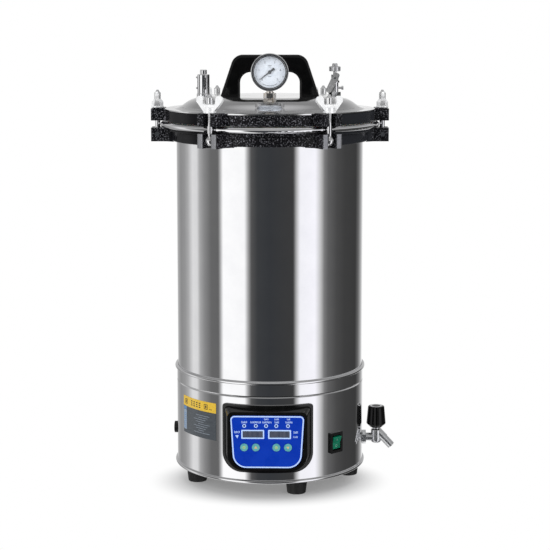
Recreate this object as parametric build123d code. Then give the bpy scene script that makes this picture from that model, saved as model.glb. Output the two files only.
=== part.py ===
from build123d import *

import os
from math import cos, radians, sin

# A portable steam steriliser: a polished steel vessel on a round electrical base,
# closed by a domed lid that six swing bolts with wing nuts clamp down.
# Millimetres. Z is the vessel's axis, z = 0 is the bench, and the front faces -Y.
# Azimuths are degrees from the front, growing towards +X.

# Vessel: nominal bore 280, about 24 litres
VESSEL_RADIUS = 142.0
VESSEL_WALL = 2.0
VESSEL_FLOOR = 155.0
VESSEL_KNUCKLE = 14.0
RIM_RADIUS = 166.0
RIM_LOW = 538.5
RIM_TOP = 547.0
RIM_ROUND = 4.0

# Base
BASE_RADIUS = 143.5
BASE_WALL = 1.2
BASE_LOW = 20.6
BASE_TOP = 173.4
BEAD_RADIUS = 146.4
BEAD_HEIGHT = 4.8
BEAD_ROUND = 2.0
GROOVE_HEIGHT = 150.4
GROOVE_WIDTH = 3.0
GROOVE_DEPTH = 0.8
PLATE_LOW = 22.1
PLATE_THICK = 1.5
SUPPORT_INNER = 98.0
SUPPORT_DROP = 27.0

# Feet
FOOT_AZIMUTHS = (19.0, 82.5, -65.0, -160.0)
FOOT_ORBIT = 122.0
FOOT_TOP_RADIUS = 16.5
FOOT_LOW_RADIUS = 14.0
FOOT_RECESS = 6.5
FOOT_RECESS_DEPTH = 10.0
SCREW_RADIUS = 2.5
SCREW_HEAD_RADIUS = 5.5
SCREW_HEAD_HEIGHT = 3.5

# Clamps: six swing bolts on pins in the collar
CLAMP_COUNT = 6
CLAMP_FIRST = 30.0
CLAMP_STEP = 60.0
PIN_ORBIT = 170.6
PIN_HEIGHT = 527.4
PIN_RADIUS = 3.5
LUG_REACH = 180.0
LUG_HALF = 17.0
SLOT_HALF = 6.5
SLOT_FLOOR = 162.0
COLLAR_LOW = 518.0
COLLAR_RADIUS = 150.0
LIP_RADIUS = 156.5
LIP_LOW = 533.4
COLLAR_LUG_LOW = 516.5
COLLAR_LUG_TOP = 537.0
COLLAR_LUG_ROOT = 157.0
COLLAR_LUG_FLARE = (25.0, 145.0)
EYE_RADIUS = 7.6
EYE_HALF = 6.2
ROD_RADIUS = 4.0
ROD_TIP = 593.8
ROD_POINT = 4.5
ROD_POINT_RADIUS = 1.4
NUT_LOW = 567.0
NUT_RADIUS = 9.6
NUT_TOP = 580.0
NUT_FLANGE = 2.2
NUT_BOSS_RADIUS = 8.8
NUT_HUB_RADIUS = 5.0
NUT_HUB_TOP = 590.0
NUT_SHOULDER = 4.0
WING_REACH = 22.2
WING_WIDTH = 11.4
WING_TOP = 591.4
RUNNING = 0.05

# Lid
LID_LOW = 548.0
LID_RING_TOP = 564.3
LID_RING_INNER = 138.0
LID_RING_RADIUS = 156.5
PAD_RADIUS = 159.0
PAD_HALF_ANGLE = 20.0
LID_LUG_TOP = 566.9
LID_LUG_ROOT = 159.5
LID_LUG_FLARE = (21.0, 150.0)
CROWN_RADIUS = 39.5
LID_SKIN = 1.7
LID_EDGE_RADIUS = 159.5
LID_EDGE_TOP = 566.0
SWEEP_FOOT = 145.0
SWEEP_MIDDLE = (129.0, 573.5)
CROWN_EDGE = (113.0, 581.2)
PLATEAU_RADIUS = 80.0
PLATEAU = 585.0
SEAT_DEPTH = 6.0
GASKET_INNER = 144.0
GASKET_OUTER = 155.0
GASKET_TOP = 549.5

# Handle
HANDLE_HALF = 74.5
HANDLE_TOP_HALF = 53.8
HANDLE_TOP = 646.8
HANDLE_CORNER = 18.0
HANDLE_GAP_HALF = 45.0
HANDLE_GAP_TOP = 620.5
HANDLE_GAP_CORNER = 16.0
HANDLE_THICK = 24.0
HANDLE_EDGE = 4.0
HANDLE_SCREW_X = 60.0

# Pressure gauge
GAUGE_Y = -100.0
GAUGE_HEIGHT = 624.0
GAUGE_RADIUS = 27.4
GAUGE_CASE_RADIUS = 26.0
GAUGE_HALF_DEPTH = 13.0
DIAL_RADIUS = 24.2
NEEDLE_REST = 217.0
NEEDLE_LENGTH = 18.5

# Valves on the lid
SAFETY_X = -100.0
SAFETY_Y = -15.0
SAFETY_RADIUS = 9.3
SAFETY_TOP = 617.5
SAFETY_CAP_TOP = 624.5
VENT_X = 98.0
VENT_Y = -10.0
VENT_RADIUS = 5.5
VENT_BODY_TOP = 617.0
VENT_PIVOT = 612.0
VENT_TOP = 634.0

# Control panel
PANEL_AZIMUTH = -1.3
PANEL_HALF = 67.0
PANEL_LOW = 37.5
PANEL_TOP = 138.8
PANEL_FACE = 157.5
PANEL_WINDOW_HALF = 48.0
PANEL_WINDOW_LOW = 54.0
PANEL_WINDOW_TOP = 122.0
OVERLAY_THICK = 1.5
BOARD_DEPTH = 140.0
BOARD_THICK = 1.6
LED_HEIGHT = 112.0
LED_OFFSETS = (-33.5, -16.5, -1.6, 13.3, 30.3)
LED_RADIUS = 1.5
DISPLAY_HEIGHT = 99.4
DISPLAY_OFFSETS = (-21.1, 18.1)
DISPLAY_WIDTH = 31.9
DISPLAY_TALL = 12.0
KEY_HEIGHT = 79.8
KEY_OFFSETS = (-33.8, -16.7, 13.3, 30.3)
KEY_RADIUS = 5.75

# Rocker switch, tap, fuse holder, cord gland, rating plate
ROCKER_AZIMUTH = 43.0
ROCKER_HEIGHT = 73.4
ROCKER_PIVOT = 141.0
TAP_HEIGHT = 54.2
TAP_X = 165.0
TAP_PIPE_RADIUS = 6.25
SPOUT_RADIUS = 6.0
SPOUT_BORE = 4.5
SPOUT_ANGLE = 47.0
SPOUT_START = (167.0, 63.9)
SPOUT_LENGTH = 31.5
SPOUT_ROOT_RADIUS = 6.7
SPOUT_ROOT_LENGTH = 15.5
KNOB_LOW = 70.3
KNOB_TOP = 103.4
KNOB_RADIUS = 15.0
FUSE_AZIMUTH = -93.5
FUSE_HEIGHT = 68.0
FUSE_CAP_RADIUS = 9.0
GLAND_AZIMUTH = 180.0
GLAND_HEIGHT = 50.0
GLAND_BORE = 4.0
RATING_START = -65.0
RATING_END = -33.7
RATING_LOW = 79.3
RATING_TOP = 135.6

# Inside the vessel
HEATER_ORBIT = 88.0
HEATER_RADIUS = 4.0
HEATER_HEIGHT = 172.0
HEATER_GAP_ANGLE = 40.0
PROBE_PLACE = (-40.0, 40.0)
CUTOUT_PLACE = (-60.0, -30.0)
DRAIN_X = 60.0
SIEVE_RADIUS = 137.0
SIEVE_HEIGHT = 190.0
SIEVE_THICK = 1.5
BASKET_RADIUS = 132.0
BASKET_HEIGHT = 150.0
BASKET_WALL = 1.0


def outline(*corners):
    """A flat face from (across, up) corners; a third number rounds that corner."""
    points = [corner[:2] for corner in corners]
    radii = [corner[2] if len(corner) > 2 else 0 for corner in corners]
    return make_face(FilletPolyline(*points, radius=radii, close=True))


def turned(*corners):
    """A solid of revolution about Z from (radius, height) corners."""
    return revolve(Plane.XZ * outline(*corners), Axis.Z)


def facing(sketch, near, far):
    """A front-facing sketch, drawn in X and Z, made solid from depth near to far."""
    return extrude(Plane.XZ.offset(near) * sketch, far - near)


def rod(radius, low, high, x=0.0, y=0.0):
    """An upright cylinder from height low to high."""
    return Pos(x, y, (low + high) / 2) * Cylinder(radius, high - low)


def front_rod(radius, near, far, x=0.0, z=0.0):
    """A cylinder that points to the front, from depth near to far."""
    return facing(Pos(x, z) * Circle(radius), near, far)


def side_rod(radius, half, orbit, height):
    """A cylinder along X, centred at the front at the given orbit and height."""
    return Pos(0, -orbit, height) * Rot(0, 90, 0) * Cylinder(radius, 2 * half)


def block(low, high):
    """A box between two corners."""
    size = [b - a for a, b in zip(low, high)]
    middle = [(a + b) / 2 for a, b in zip(low, high)]
    return Pos(*middle) * Box(*size)


def at(azimuth, shape):
    """A shape made at the front, carried round to an azimuth."""
    return Rot(0, 0, azimuth) * shape


def hexagon(radius, low, high, x=0.0, y=0.0):
    """An upright hexagonal prism with the given corner radius."""
    return Pos(x, y, low) * extrude(RegularPolygon(radius, 6), high - low)


def clamp_azimuths():
    return [CLAMP_FIRST + CLAMP_STEP * i for i in range(CLAMP_COUNT)]


def sector(inner, outer, low, high, start, end):
    """Part of a ring between two azimuths."""
    face = Plane.XZ * outline((inner, low), (outer, low), (outer, high), (inner, high))
    return Rot(0, 0, start - 90) * revolve(face, Axis.Z, end - start)


# Vessel and collar


def heater_legs():
    half = radians(HEATER_GAP_ANGLE / 2)
    return [(side * HEATER_ORBIT * sin(half), HEATER_ORBIT * cos(half)) for side in (-1, 1)]


def chamber():
    inner = VESSEL_RADIUS - VESSEL_WALL
    floor_top = VESSEL_FLOOR + VESSEL_WALL
    shell = turned(
        (0, VESSEL_FLOOR),
        (VESSEL_RADIUS, VESSEL_FLOOR, VESSEL_KNUCKLE),
        (VESSEL_RADIUS, RIM_LOW),
        (RIM_RADIUS, RIM_LOW, RIM_ROUND),
        (RIM_RADIUS, RIM_TOP, RIM_ROUND),
        (inner, RIM_TOP),
        (inner, floor_top, VESSEL_KNUCKLE - VESSEL_WALL),
        (0, floor_top),
    )
    clear = 0.1
    low, high = VESSEL_FLOOR - 1, floor_top + 1
    for x, y in heater_legs():
        shell -= rod(HEATER_RADIUS + clear, low, high, x, y)
    shell -= rod(3 + clear, low, high, *PROBE_PLACE)
    shell -= rod(TAP_PIPE_RADIUS + clear, low, high, DRAIN_X)
    return shell


def heater_element():
    face = Plane.XZ * Pos(HEATER_ORBIT, HEATER_HEIGHT) * Circle(HEATER_RADIUS)
    ring = revolve(face, Axis.Z, 360 - HEATER_GAP_ANGLE)
    ring = Rot(0, 0, 90 + HEATER_GAP_ANGLE / 2) * ring
    terminal = 1.5
    for x, y in heater_legs():
        ring += Pos(x, y, HEATER_HEIGHT) * Sphere(HEATER_RADIUS)
        ring += rod(HEATER_RADIUS, VESSEL_FLOOR - 14, HEATER_HEIGHT, x, y)
        ring += rod(terminal, VESSEL_FLOOR - 24, VESSEL_FLOOR - 14, x, y)
    return ring


def temperature_sensors():
    """A probe in the water and a cut-out pressed to the vessel's floor."""
    x, y = PROBE_PLACE
    probe = rod(3, VESSEL_FLOOR - 8, VESSEL_FLOOR + 30, x, y)
    probe += hexagon(7, VESSEL_FLOOR - 8, VESSEL_FLOOR, x, y)
    x, y = CUTOUT_PLACE
    cutout = rod(11, VESSEL_FLOOR - 3, VESSEL_FLOOR, x, y)
    cutout += rod(8, VESSEL_FLOOR - 12, VESSEL_FLOOR - 3, x, y)
    return Compound([probe, cutout])


def drain_pipe():
    path = FilletPolyline(
        (DRAIN_X, 0, VESSEL_FLOOR + VESSEL_WALL),
        (DRAIN_X, 0, TAP_HEIGHT),
        (BASE_RADIUS - 18, 0, TAP_HEIGHT),
        radius=20,
    )
    section = Plane(path @ 0, z_dir=path % 0) * (Circle(TAP_PIPE_RADIUS) - Circle(SPOUT_BORE))
    return sweep(section, path)


def collar_lug():
    flare, flare_orbit = COLLAR_LUG_FLARE
    plan = outline(
        (-LUG_HALF, -LUG_REACH, 3),
        (-SLOT_HALF, -LUG_REACH, 2),
        (-SLOT_HALF, -SLOT_FLOOR, 3),
        (SLOT_HALF, -SLOT_FLOOR, 3),
        (SLOT_HALF, -LUG_REACH, 2),
        (LUG_HALF, -LUG_REACH, 3),
        (LUG_HALF, -COLLAR_LUG_ROOT, 6),
        (flare, -flare_orbit),
        (-flare, -flare_orbit),
        (-LUG_HALF, -COLLAR_LUG_ROOT, 6),
    )
    lug = Pos(0, 0, COLLAR_LUG_LOW) * extrude(plan, COLLAR_LUG_TOP - COLLAR_LUG_LOW)
    return lug - side_rod(PIN_RADIUS, LUG_HALF + 1, PIN_ORBIT, PIN_HEIGHT)


def collar_ring():
    inner = VESSEL_RADIUS + 0.3
    ring = turned(
        (inner, COLLAR_LOW),
        (COLLAR_RADIUS, COLLAR_LOW, 2),
        (COLLAR_RADIUS, LIP_LOW - 1.2),
        (COLLAR_RADIUS - 2, LIP_LOW - 1.2),
        (COLLAR_RADIUS - 2, LIP_LOW),
        (LIP_RADIUS, LIP_LOW, 1.5),
        (LIP_RADIUS, RIM_LOW),
        (inner, RIM_LOW),
    )
    for azimuth in clamp_azimuths():
        ring += at(azimuth, collar_lug())
    return ring


def clamp_pins():
    pin = side_rod(PIN_RADIUS, LUG_HALF + 0.4, PIN_ORBIT, PIN_HEIGHT)
    return Compound([at(azimuth, pin) for azimuth in clamp_azimuths()])


def swing_bolt(azimuth):
    eye = Pos(0, -PIN_ORBIT, PIN_HEIGHT) * Sphere(EYE_RADIUS)
    eye &= Pos(0, -PIN_ORBIT, PIN_HEIGHT) * Box(2 * EYE_HALF, 3 * EYE_RADIUS, 3 * EYE_RADIUS)
    point = ROD_TIP - ROD_POINT
    shank = turned(
        (0, PIN_HEIGHT),
        (ROD_RADIUS, PIN_HEIGHT),
        (ROD_RADIUS, point),
        (ROD_POINT_RADIUS, ROD_TIP),
        (0, ROD_TIP),
    )
    shank = Pos(0, -PIN_ORBIT, 0) * shank
    bolt = eye + shank - side_rod(PIN_RADIUS + RUNNING, EYE_HALF + 1, PIN_ORBIT, PIN_HEIGHT)
    return at(azimuth, bolt)


def wing_nut(azimuth):
    boss = turned(
        (0, NUT_LOW),
        (NUT_RADIUS, NUT_LOW, 0.6),
        (NUT_RADIUS, NUT_LOW + NUT_FLANGE, 0.6),
        (NUT_BOSS_RADIUS, NUT_LOW + NUT_FLANGE + 0.4),
        (NUT_BOSS_RADIUS, NUT_TOP - NUT_SHOULDER, 2),
        (NUT_HUB_RADIUS, NUT_TOP, 1),
        (NUT_HUB_RADIUS, NUT_HUB_TOP, 1.2),
        (0, NUT_HUB_TOP),
    )
    wing = outline(
        (3, NUT_LOW + NUT_FLANGE),
        (8.5, NUT_LOW + NUT_FLANGE, 3),
        (WING_REACH, WING_TOP - 7, 5),
        (WING_REACH - 2.4, WING_TOP, 4.2),
        (WING_REACH - WING_WIDTH, WING_TOP, 4.2),
        (WING_REACH - WING_WIDTH - 0.6, NUT_TOP, 1.5),
        (3, NUT_TOP - 2),
    )
    ears = wing + mirror(wing, Plane.YZ)
    taper = outline((-4.6, NUT_LOW), (4.6, NUT_LOW), (1.7, WING_TOP), (-1.7, WING_TOP))
    ears = extrude(Plane.XZ * ears, NUT_RADIUS, both=True)
    ears &= extrude(Plane.YZ * taper, WING_REACH + 1, both=True)
    nut = boss + ears - rod(ROD_RADIUS + RUNNING, NUT_LOW - 1, NUT_HUB_TOP + 1)
    return at(azimuth, Pos(0, -PIN_ORBIT, 0) * nut)


# Base


def base_shell():
    inner = BASE_RADIUS - BASE_WALL
    groove_half = GROOVE_WIDTH / 2
    shell = turned(
        (inner, BASE_LOW),
        (BEAD_RADIUS, BASE_LOW, BEAD_ROUND),
        (BEAD_RADIUS, BASE_LOW + BEAD_HEIGHT, BEAD_ROUND),
        (BASE_RADIUS, BASE_LOW + BEAD_HEIGHT),
        (BASE_RADIUS, GROOVE_HEIGHT - groove_half),
        (BASE_RADIUS - GROOVE_DEPTH, GROOVE_HEIGHT),
        (BASE_RADIUS, GROOVE_HEIGHT + groove_half),
        (BASE_RADIUS, BASE_TOP - BEAD_HEIGHT),
        (BEAD_RADIUS, BASE_TOP - BEAD_HEIGHT, BEAD_ROUND),
        (BEAD_RADIUS, BASE_TOP, BEAD_ROUND),
        (inner, BASE_TOP),
    )
    window = block(
        (-PANEL_WINDOW_HALF, -BASE_RADIUS - 5, PANEL_WINDOW_LOW),
        (PANEL_WINDOW_HALF, -100, PANEL_WINDOW_TOP),
    )
    shell -= at(PANEL_AZIMUTH, window)
    shell -= at(ROCKER_AZIMUTH, facing(Pos(0, ROCKER_HEIGHT) * Rectangle(21, 27), 100, 150))
    shell -= at(90, front_rod(TAP_PIPE_RADIUS + 0.2, 100, 150, 0, TAP_HEIGHT))
    shell -= at(FUSE_AZIMUTH, front_rod(7.2, 100, 150, 0, FUSE_HEIGHT))
    shell -= at(GLAND_AZIMUTH, front_rod(6.2, 100, 150, 0, GLAND_HEIGHT))
    return shell


def support_ring():
    """The shelf inside the base that the vessel's floor stands on."""
    outer = BASE_RADIUS - BASE_WALL - 0.3
    sheet = 1.5
    return turned(
        (SUPPORT_INNER, VESSEL_FLOOR),
        (outer, VESSEL_FLOOR),
        (outer, VESSEL_FLOOR - SUPPORT_DROP),
        (outer - sheet, VESSEL_FLOOR - SUPPORT_DROP),
        (outer - sheet, VESSEL_FLOOR - sheet),
        (SUPPORT_INNER, VESSEL_FLOOR - sheet),
    )


def base_plate():
    plate = rod(BASE_RADIUS - BASE_WALL - 0.3, PLATE_LOW, PLATE_LOW + PLATE_THICK)
    for azimuth in FOOT_AZIMUTHS:
        plate -= at(azimuth, rod(SCREW_RADIUS + 0.1, PLATE_LOW - 1, PLATE_LOW + 5, 0, -FOOT_ORBIT))
    return plate


def rubber_feet():
    foot = turned(
        (FOOT_RECESS, 0),
        (FOOT_LOW_RADIUS, 0, 1.2),
        (FOOT_TOP_RADIUS, PLATE_LOW),
        (SCREW_RADIUS + 0.1, PLATE_LOW),
        (SCREW_RADIUS + 0.1, FOOT_RECESS_DEPTH),
        (FOOT_RECESS, FOOT_RECESS_DEPTH),
    )
    return Compound([at(azimuth, Pos(0, -FOOT_ORBIT, 0) * foot) for azimuth in FOOT_AZIMUTHS])


def foot_screws():
    screw = rod(SCREW_HEAD_RADIUS, FOOT_RECESS_DEPTH - SCREW_HEAD_HEIGHT, FOOT_RECESS_DEPTH)
    screw += rod(SCREW_RADIUS, FOOT_RECESS_DEPTH, PLATE_LOW + 9)
    return Compound([at(azimuth, Pos(0, -FOOT_ORBIT, 0) * screw) for azimuth in FOOT_AZIMUTHS])


def power_board():
    """Transformer, relay and terminal block on a board that stands on the base plate."""
    top = PLATE_LOW + PLATE_THICK
    board_low = top + 8
    board = block((-45, 20, board_low), (45, 80, board_low + BOARD_THICK))
    for x in (-40, 40):
        for y in (25, 75):
            board += rod(3, top, board_low, x, y)
    board_top = board_low + BOARD_THICK
    board += block((-40, 32, board_top), (-6, 62, board_top + 28))
    board += block((4, 36, board_top), (32, 58, board_top + 16))
    board += block((-30, 66, board_top), (30, 76, board_top + 12))
    return board


# Control panel


def panel_bezel():
    def slab(half, low, top, low_round, top_round):
        return outline(
            (-half, top, top_round),
            (-half, low, low_round),
            (half, low, low_round),
            (half, top, top_round),
        )

    flange = facing(slab(PANEL_HALF, PANEL_LOW, PANEL_TOP, 28, 5), 110, 150)
    flange &= rod(BASE_RADIUS + 2.6, 0, BASE_TOP)
    root = Plane.XZ.offset(124) * slab(PANEL_HALF - 1.5, PANEL_LOW + 1.5, PANEL_TOP - 1.5, 27, 6)
    face = Plane.XZ.offset(PANEL_FACE) * slab(58.5, 44.2, 132, 25, 8)
    bezel = flange + loft([root, face])
    bezel -= rod(BASE_RADIUS + 0.05, 0, BASE_TOP)
    window = block(
        (-PANEL_WINDOW_HALF, -PANEL_FACE - 5, PANEL_WINDOW_LOW),
        (PANEL_WINDOW_HALF, -100, PANEL_WINDOW_TOP),
    )
    return at(PANEL_AZIMUTH, bezel - window)


def panel_overlay():
    sheet = outline((-54.25, 127, 6), (-49.5, 48.9, 20), (49.5, 48.9, 20), (54.25, 127, 6))
    for x in DISPLAY_OFFSETS:
        sheet -= Pos(x, DISPLAY_HEIGHT) * Rectangle(DISPLAY_WIDTH, DISPLAY_TALL)
    for x in LED_OFFSETS:
        sheet -= Pos(x, LED_HEIGHT) * Circle(LED_RADIUS + 0.1)
    for x in KEY_OFFSETS:
        sheet -= Pos(x, KEY_HEIGHT) * Circle(KEY_RADIUS + 0.25)
    return at(PANEL_AZIMUTH, facing(sheet, PANEL_FACE, PANEL_FACE + OVERLAY_THICK))


def display_windows():
    pane = Rectangle(DISPLAY_WIDTH - 0.3, DISPLAY_TALL - 0.3)
    far = PANEL_FACE + OVERLAY_THICK + 0.1
    panes = [facing(Pos(x, DISPLAY_HEIGHT) * pane, PANEL_FACE + 0.1, far) for x in DISPLAY_OFFSETS]
    return Compound([at(PANEL_AZIMUTH, one) for one in panes])


def indicator_leds():
    far = PANEL_FACE + OVERLAY_THICK
    board_face = BOARD_DEPTH + BOARD_THICK
    leds = [front_rod(LED_RADIUS, board_face, far, x, LED_HEIGHT) for x in LED_OFFSETS]
    return Compound([at(PANEL_AZIMUTH, led) for led in leds])


def control_board():
    """The panel's board with its posts, display modules and key switches."""
    face = BOARD_DEPTH + BOARD_THICK
    board = block((-46, -face, PANEL_WINDOW_LOW + 2), (46, -BOARD_DEPTH, PANEL_WINDOW_TOP - 2))
    for x in (-42, 42):
        for z in (60, 116):
            board += front_rod(2.5, face, PANEL_FACE, x, z)
    for x in DISPLAY_OFFSETS:
        board += facing(Pos(x, DISPLAY_HEIGHT) * Rectangle(30, 10.5), face, PANEL_FACE + 0.1)
    for x in KEY_OFFSETS:
        board += facing(Pos(x, KEY_HEIGHT) * Rectangle(6, 6), face, face + 2)
    return at(PANEL_AZIMUTH, board)


def panel_key(x):
    overlay_back = PANEL_FACE
    key = front_rod(KEY_RADIUS, overlay_back - 0.4, PANEL_FACE + OVERLAY_THICK + 0.9, x, KEY_HEIGHT)
    key = fillet(key.edges().group_by(Axis.Y)[0], 0.5)
    key += front_rod(KEY_RADIUS + 0.9, overlay_back - 1.4, overlay_back - 0.3, x, KEY_HEIGHT)
    key += front_rod(2, BOARD_DEPTH + BOARD_THICK + 2.8, overlay_back - 1.4, x, KEY_HEIGHT)
    return at(PANEL_AZIMUTH, key)


# Switch, tap, fuse and cord entry


def rocker_housing():
    place = Pos(0, ROCKER_HEIGHT)
    housing = facing(place * RectangleRounded(25, 31, 1.5), BASE_RADIUS - 1, BASE_RADIUS + 3)
    housing -= rod(BASE_RADIUS + 0.05, 0, BASE_TOP)
    housing += facing(place * Rectangle(20, 26), 118, BASE_RADIUS + 1)
    housing -= facing(place * Rectangle(16.6, 23), 122, BASE_RADIUS + 5)
    housing += side_rod(1.5, 9, ROCKER_PIVOT, ROCKER_HEIGHT)
    return at(ROCKER_AZIMUTH, housing)


def rocker_paddle():
    """The paddle rests with its lower half pressed in and its upper half standing out."""
    profile = outline(
        (4, 3),
        (4, -3),
        (-1, -9.4),
        (-4.3, -9.6, 0.6),
        (-4.5, 0),
        (-8.2, 8.6, 0.8),
        (-3, 9.6),
    )
    paddle = Pos(0, -ROCKER_PIVOT, ROCKER_HEIGHT) * extrude(Plane.YZ * profile, 7.9, both=True)
    paddle -= side_rod(1.5 + RUNNING, 9, ROCKER_PIVOT, ROCKER_HEIGHT)
    return at(ROCKER_AZIMUTH, paddle)


def tap_body():
    """The drain tap: tail through the base, nut, upright body and slanted spout."""
    pipe = at(90, front_rod(TAP_PIPE_RADIUS, BASE_RADIUS - 18, TAP_X, 0, TAP_HEIGHT))
    flange = Rot(0, 90, 0) * extrude(RegularPolygon(11, 6), 5)
    body = pipe + Pos(BASE_RADIUS + 0.5, 0, TAP_HEIGHT) * flange
    upright = turned((0, 45), (8, 45, 5), (8, 66, 1), (5.5, 67.5), (5.5, 70), (3, 70), (3, 80), (0, 80))
    body += Pos(TAP_X, 0, 0) * upright
    x, z = SPOUT_START
    along = Pos(x, 0, z) * Rot(0, 90 + SPOUT_ANGLE, 0)
    body += along * Pos(0, 0, SPOUT_LENGTH / 2) * Cylinder(SPOUT_RADIUS, SPOUT_LENGTH)
    body += along * Pos(0, 0, SPOUT_ROOT_LENGTH / 2) * Cylinder(SPOUT_ROOT_RADIUS, SPOUT_ROOT_LENGTH)
    body -= along * Pos(0, 0, SPOUT_LENGTH / 2 + 4) * Cylinder(SPOUT_BORE, SPOUT_LENGTH)
    bore_start = BASE_RADIUS - 20
    return body - at(90, front_rod(SPOUT_BORE, bore_start, TAP_X, 0, TAP_HEIGHT))


def tap_knob():
    knob = turned((0, KNOB_LOW), (9, KNOB_LOW), (KNOB_RADIUS, 76, 2), (12.6, KNOB_TOP, 2), (0, KNOB_TOP))
    for i in range(6):
        groove = Pos(18.6, 0, 88) * Rot(0, -5, 0) * Cylinder(6, 50)
        knob -= Rot(0, 0, 60 * i + 30) * groove
    knob -= rod(3 + RUNNING, KNOB_LOW - 1, 81)
    return Pos(TAP_X, 0, 0) * knob


def fuse_holder():
    barrel = front_rod(7, 110, BASE_RADIUS, 0, FUSE_HEIGHT)
    barrel += front_rod(9.5, 135, 140, 0, FUSE_HEIGHT)
    barrel -= front_rod(3.6, 113, BASE_RADIUS + 1, 0, FUSE_HEIGHT)
    return at(FUSE_AZIMUTH, barrel)


def fuse_cap():
    cap = front_rod(FUSE_CAP_RADIUS, BASE_RADIUS + 0.3, BASE_RADIUS + 5.6, 0, FUSE_HEIGHT)
    cap = fillet(cap.edges().group_by(Axis.Y)[0], 1)
    slot = block(
        (-FUSE_CAP_RADIUS * 0.7, -BASE_RADIUS - 7, FUSE_HEIGHT - 0.8),
        (FUSE_CAP_RADIUS * 0.7, -BASE_RADIUS - 4.2, FUSE_HEIGHT + 0.8),
    )
    cap -= slot
    cap += front_rod(3.2, 120, BASE_RADIUS + 0.3, 0, FUSE_HEIGHT)
    return at(FUSE_AZIMUTH, cap)


def cord_gland():
    outer_nut = Pos(0, GLAND_HEIGHT) * RegularPolygon(10, 6)
    gland = facing(outer_nut, BASE_RADIUS + 0.1, BASE_RADIUS + 6)
    gland += front_rod(8, BASE_RADIUS + 6, BASE_RADIUS + 13, 0, GLAND_HEIGHT)
    gland = fillet(gland.edges().group_by(Axis.Y)[0], 2)
    gland += front_rod(6, 128, BASE_RADIUS + 1, 0, GLAND_HEIGHT)
    gland += facing(Pos(0, GLAND_HEIGHT) * RegularPolygon(9, 6), 135, 140)
    gland -= front_rod(GLAND_BORE, 120, BASE_RADIUS + 20, 0, GLAND_HEIGHT)
    return at(GLAND_AZIMUTH, gland)


def rating_plate():
    inner = BASE_RADIUS + 0.02
    return sector(inner, inner + 0.4, RATING_LOW, RATING_TOP, RATING_START, RATING_END)


# Inside the vessel


def sieve_plate():
    plate = rod(SIEVE_RADIUS, SIEVE_HEIGHT, SIEVE_HEIGHT + SIEVE_THICK)
    holes = [(30 * ring, 6 * ring) for ring in range(1, 5)]
    for orbit, count in holes:
        for i in range(count):
            angle = 360 / count * i
            plate -= at(angle, rod(4, SIEVE_HEIGHT - 1, SIEVE_HEIGHT + 3, 0, -orbit))
    for azimuth in (0, 120, 240):
        plate += at(azimuth + 30, rod(5, VESSEL_FLOOR + VESSEL_WALL, SIEVE_HEIGHT, 0, -105))
    return plate


def basket(low):
    top = low + BASKET_HEIGHT
    inner = BASKET_RADIUS - BASKET_WALL
    can = turned(
        (0, low),
        (BASKET_RADIUS, low, 4),
        (BASKET_RADIUS, top - 4),
        (BASKET_RADIUS + 1.8, top - 4, 1.5),
        (BASKET_RADIUS + 1.8, top, 1.5),
        (inner, top),
        (inner, low + BASKET_WALL, 3),
        (0, low + BASKET_WALL),
    )
    for row in range(3):
        height = low + 35 + 40 * row
        for i in range(6):
            can -= Rot(0, 0, 30 * i) * Pos(0, 0, height) * Box(3 * BASKET_RADIUS, 24, 8)
    for i in range(6):
        can -= Rot(0, 0, 60 * i) * Pos(70, 0, low) * Box(60, 8, 5)
    return can


# Lid


def lid_lug():
    flare, flare_orbit = LID_LUG_FLARE
    plan = outline(
        (-LUG_HALF, -LUG_REACH, 3),
        (-SLOT_HALF, -LUG_REACH, 2),
        (-SLOT_HALF, -SLOT_FLOOR, 3),
        (SLOT_HALF, -SLOT_FLOOR, 3),
        (SLOT_HALF, -LUG_REACH, 2),
        (LUG_HALF, -LUG_REACH, 3),
        (LUG_HALF, -LID_LUG_ROOT, 3),
        (flare, -flare_orbit),
        (-flare, -flare_orbit),
        (-LUG_HALF, -LID_LUG_ROOT, 3),
    )
    lug = Pos(0, 0, LID_LOW) * extrude(plan, LID_LUG_TOP - LID_LOW)
    outboard = block((-30, -LUG_REACH - 5, LID_LOW - 5), (30, -PIN_ORBIT, LID_LUG_TOP + 5))
    outboard -= side_rod(CROWN_RADIUS, 31, PIN_ORBIT, PIN_HEIGHT)
    lug -= outboard
    return lug - rod(LID_EDGE_RADIUS + 0.05, LID_RING_TOP, LID_LUG_TOP + 5)


def lid_ring():
    ring = turned(
        (LID_RING_INNER, LID_LOW),
        (LID_RING_RADIUS, LID_LOW),
        (LID_RING_RADIUS, LID_RING_TOP),
        (LID_RING_INNER, LID_RING_TOP),
    )
    for azimuth in clamp_azimuths():
        ring += at(azimuth, lid_lug())
        middle = azimuth + CLAMP_STEP / 2
        inner, high = LID_RING_RADIUS - 1, LID_RING_TOP - 1
        pad = sector(inner, PAD_RADIUS, LID_LOW, high, -PAD_HALF_ANGLE, PAD_HALF_ANGLE)
        ring += at(middle, pad)
    groove = rod(GASKET_OUTER + 0.2, LID_LOW - 1, GASKET_TOP + 0.1)
    groove -= rod(GASKET_INNER - 0.2, LID_LOW - 2, GASKET_TOP + 1)
    return ring - groove


def lid_gasket():
    return turned(
        (GASKET_INNER, RIM_TOP),
        (GASKET_OUTER, RIM_TOP),
        (GASKET_OUTER, GASKET_TOP),
        (GASKET_INNER, GASKET_TOP),
    )


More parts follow.
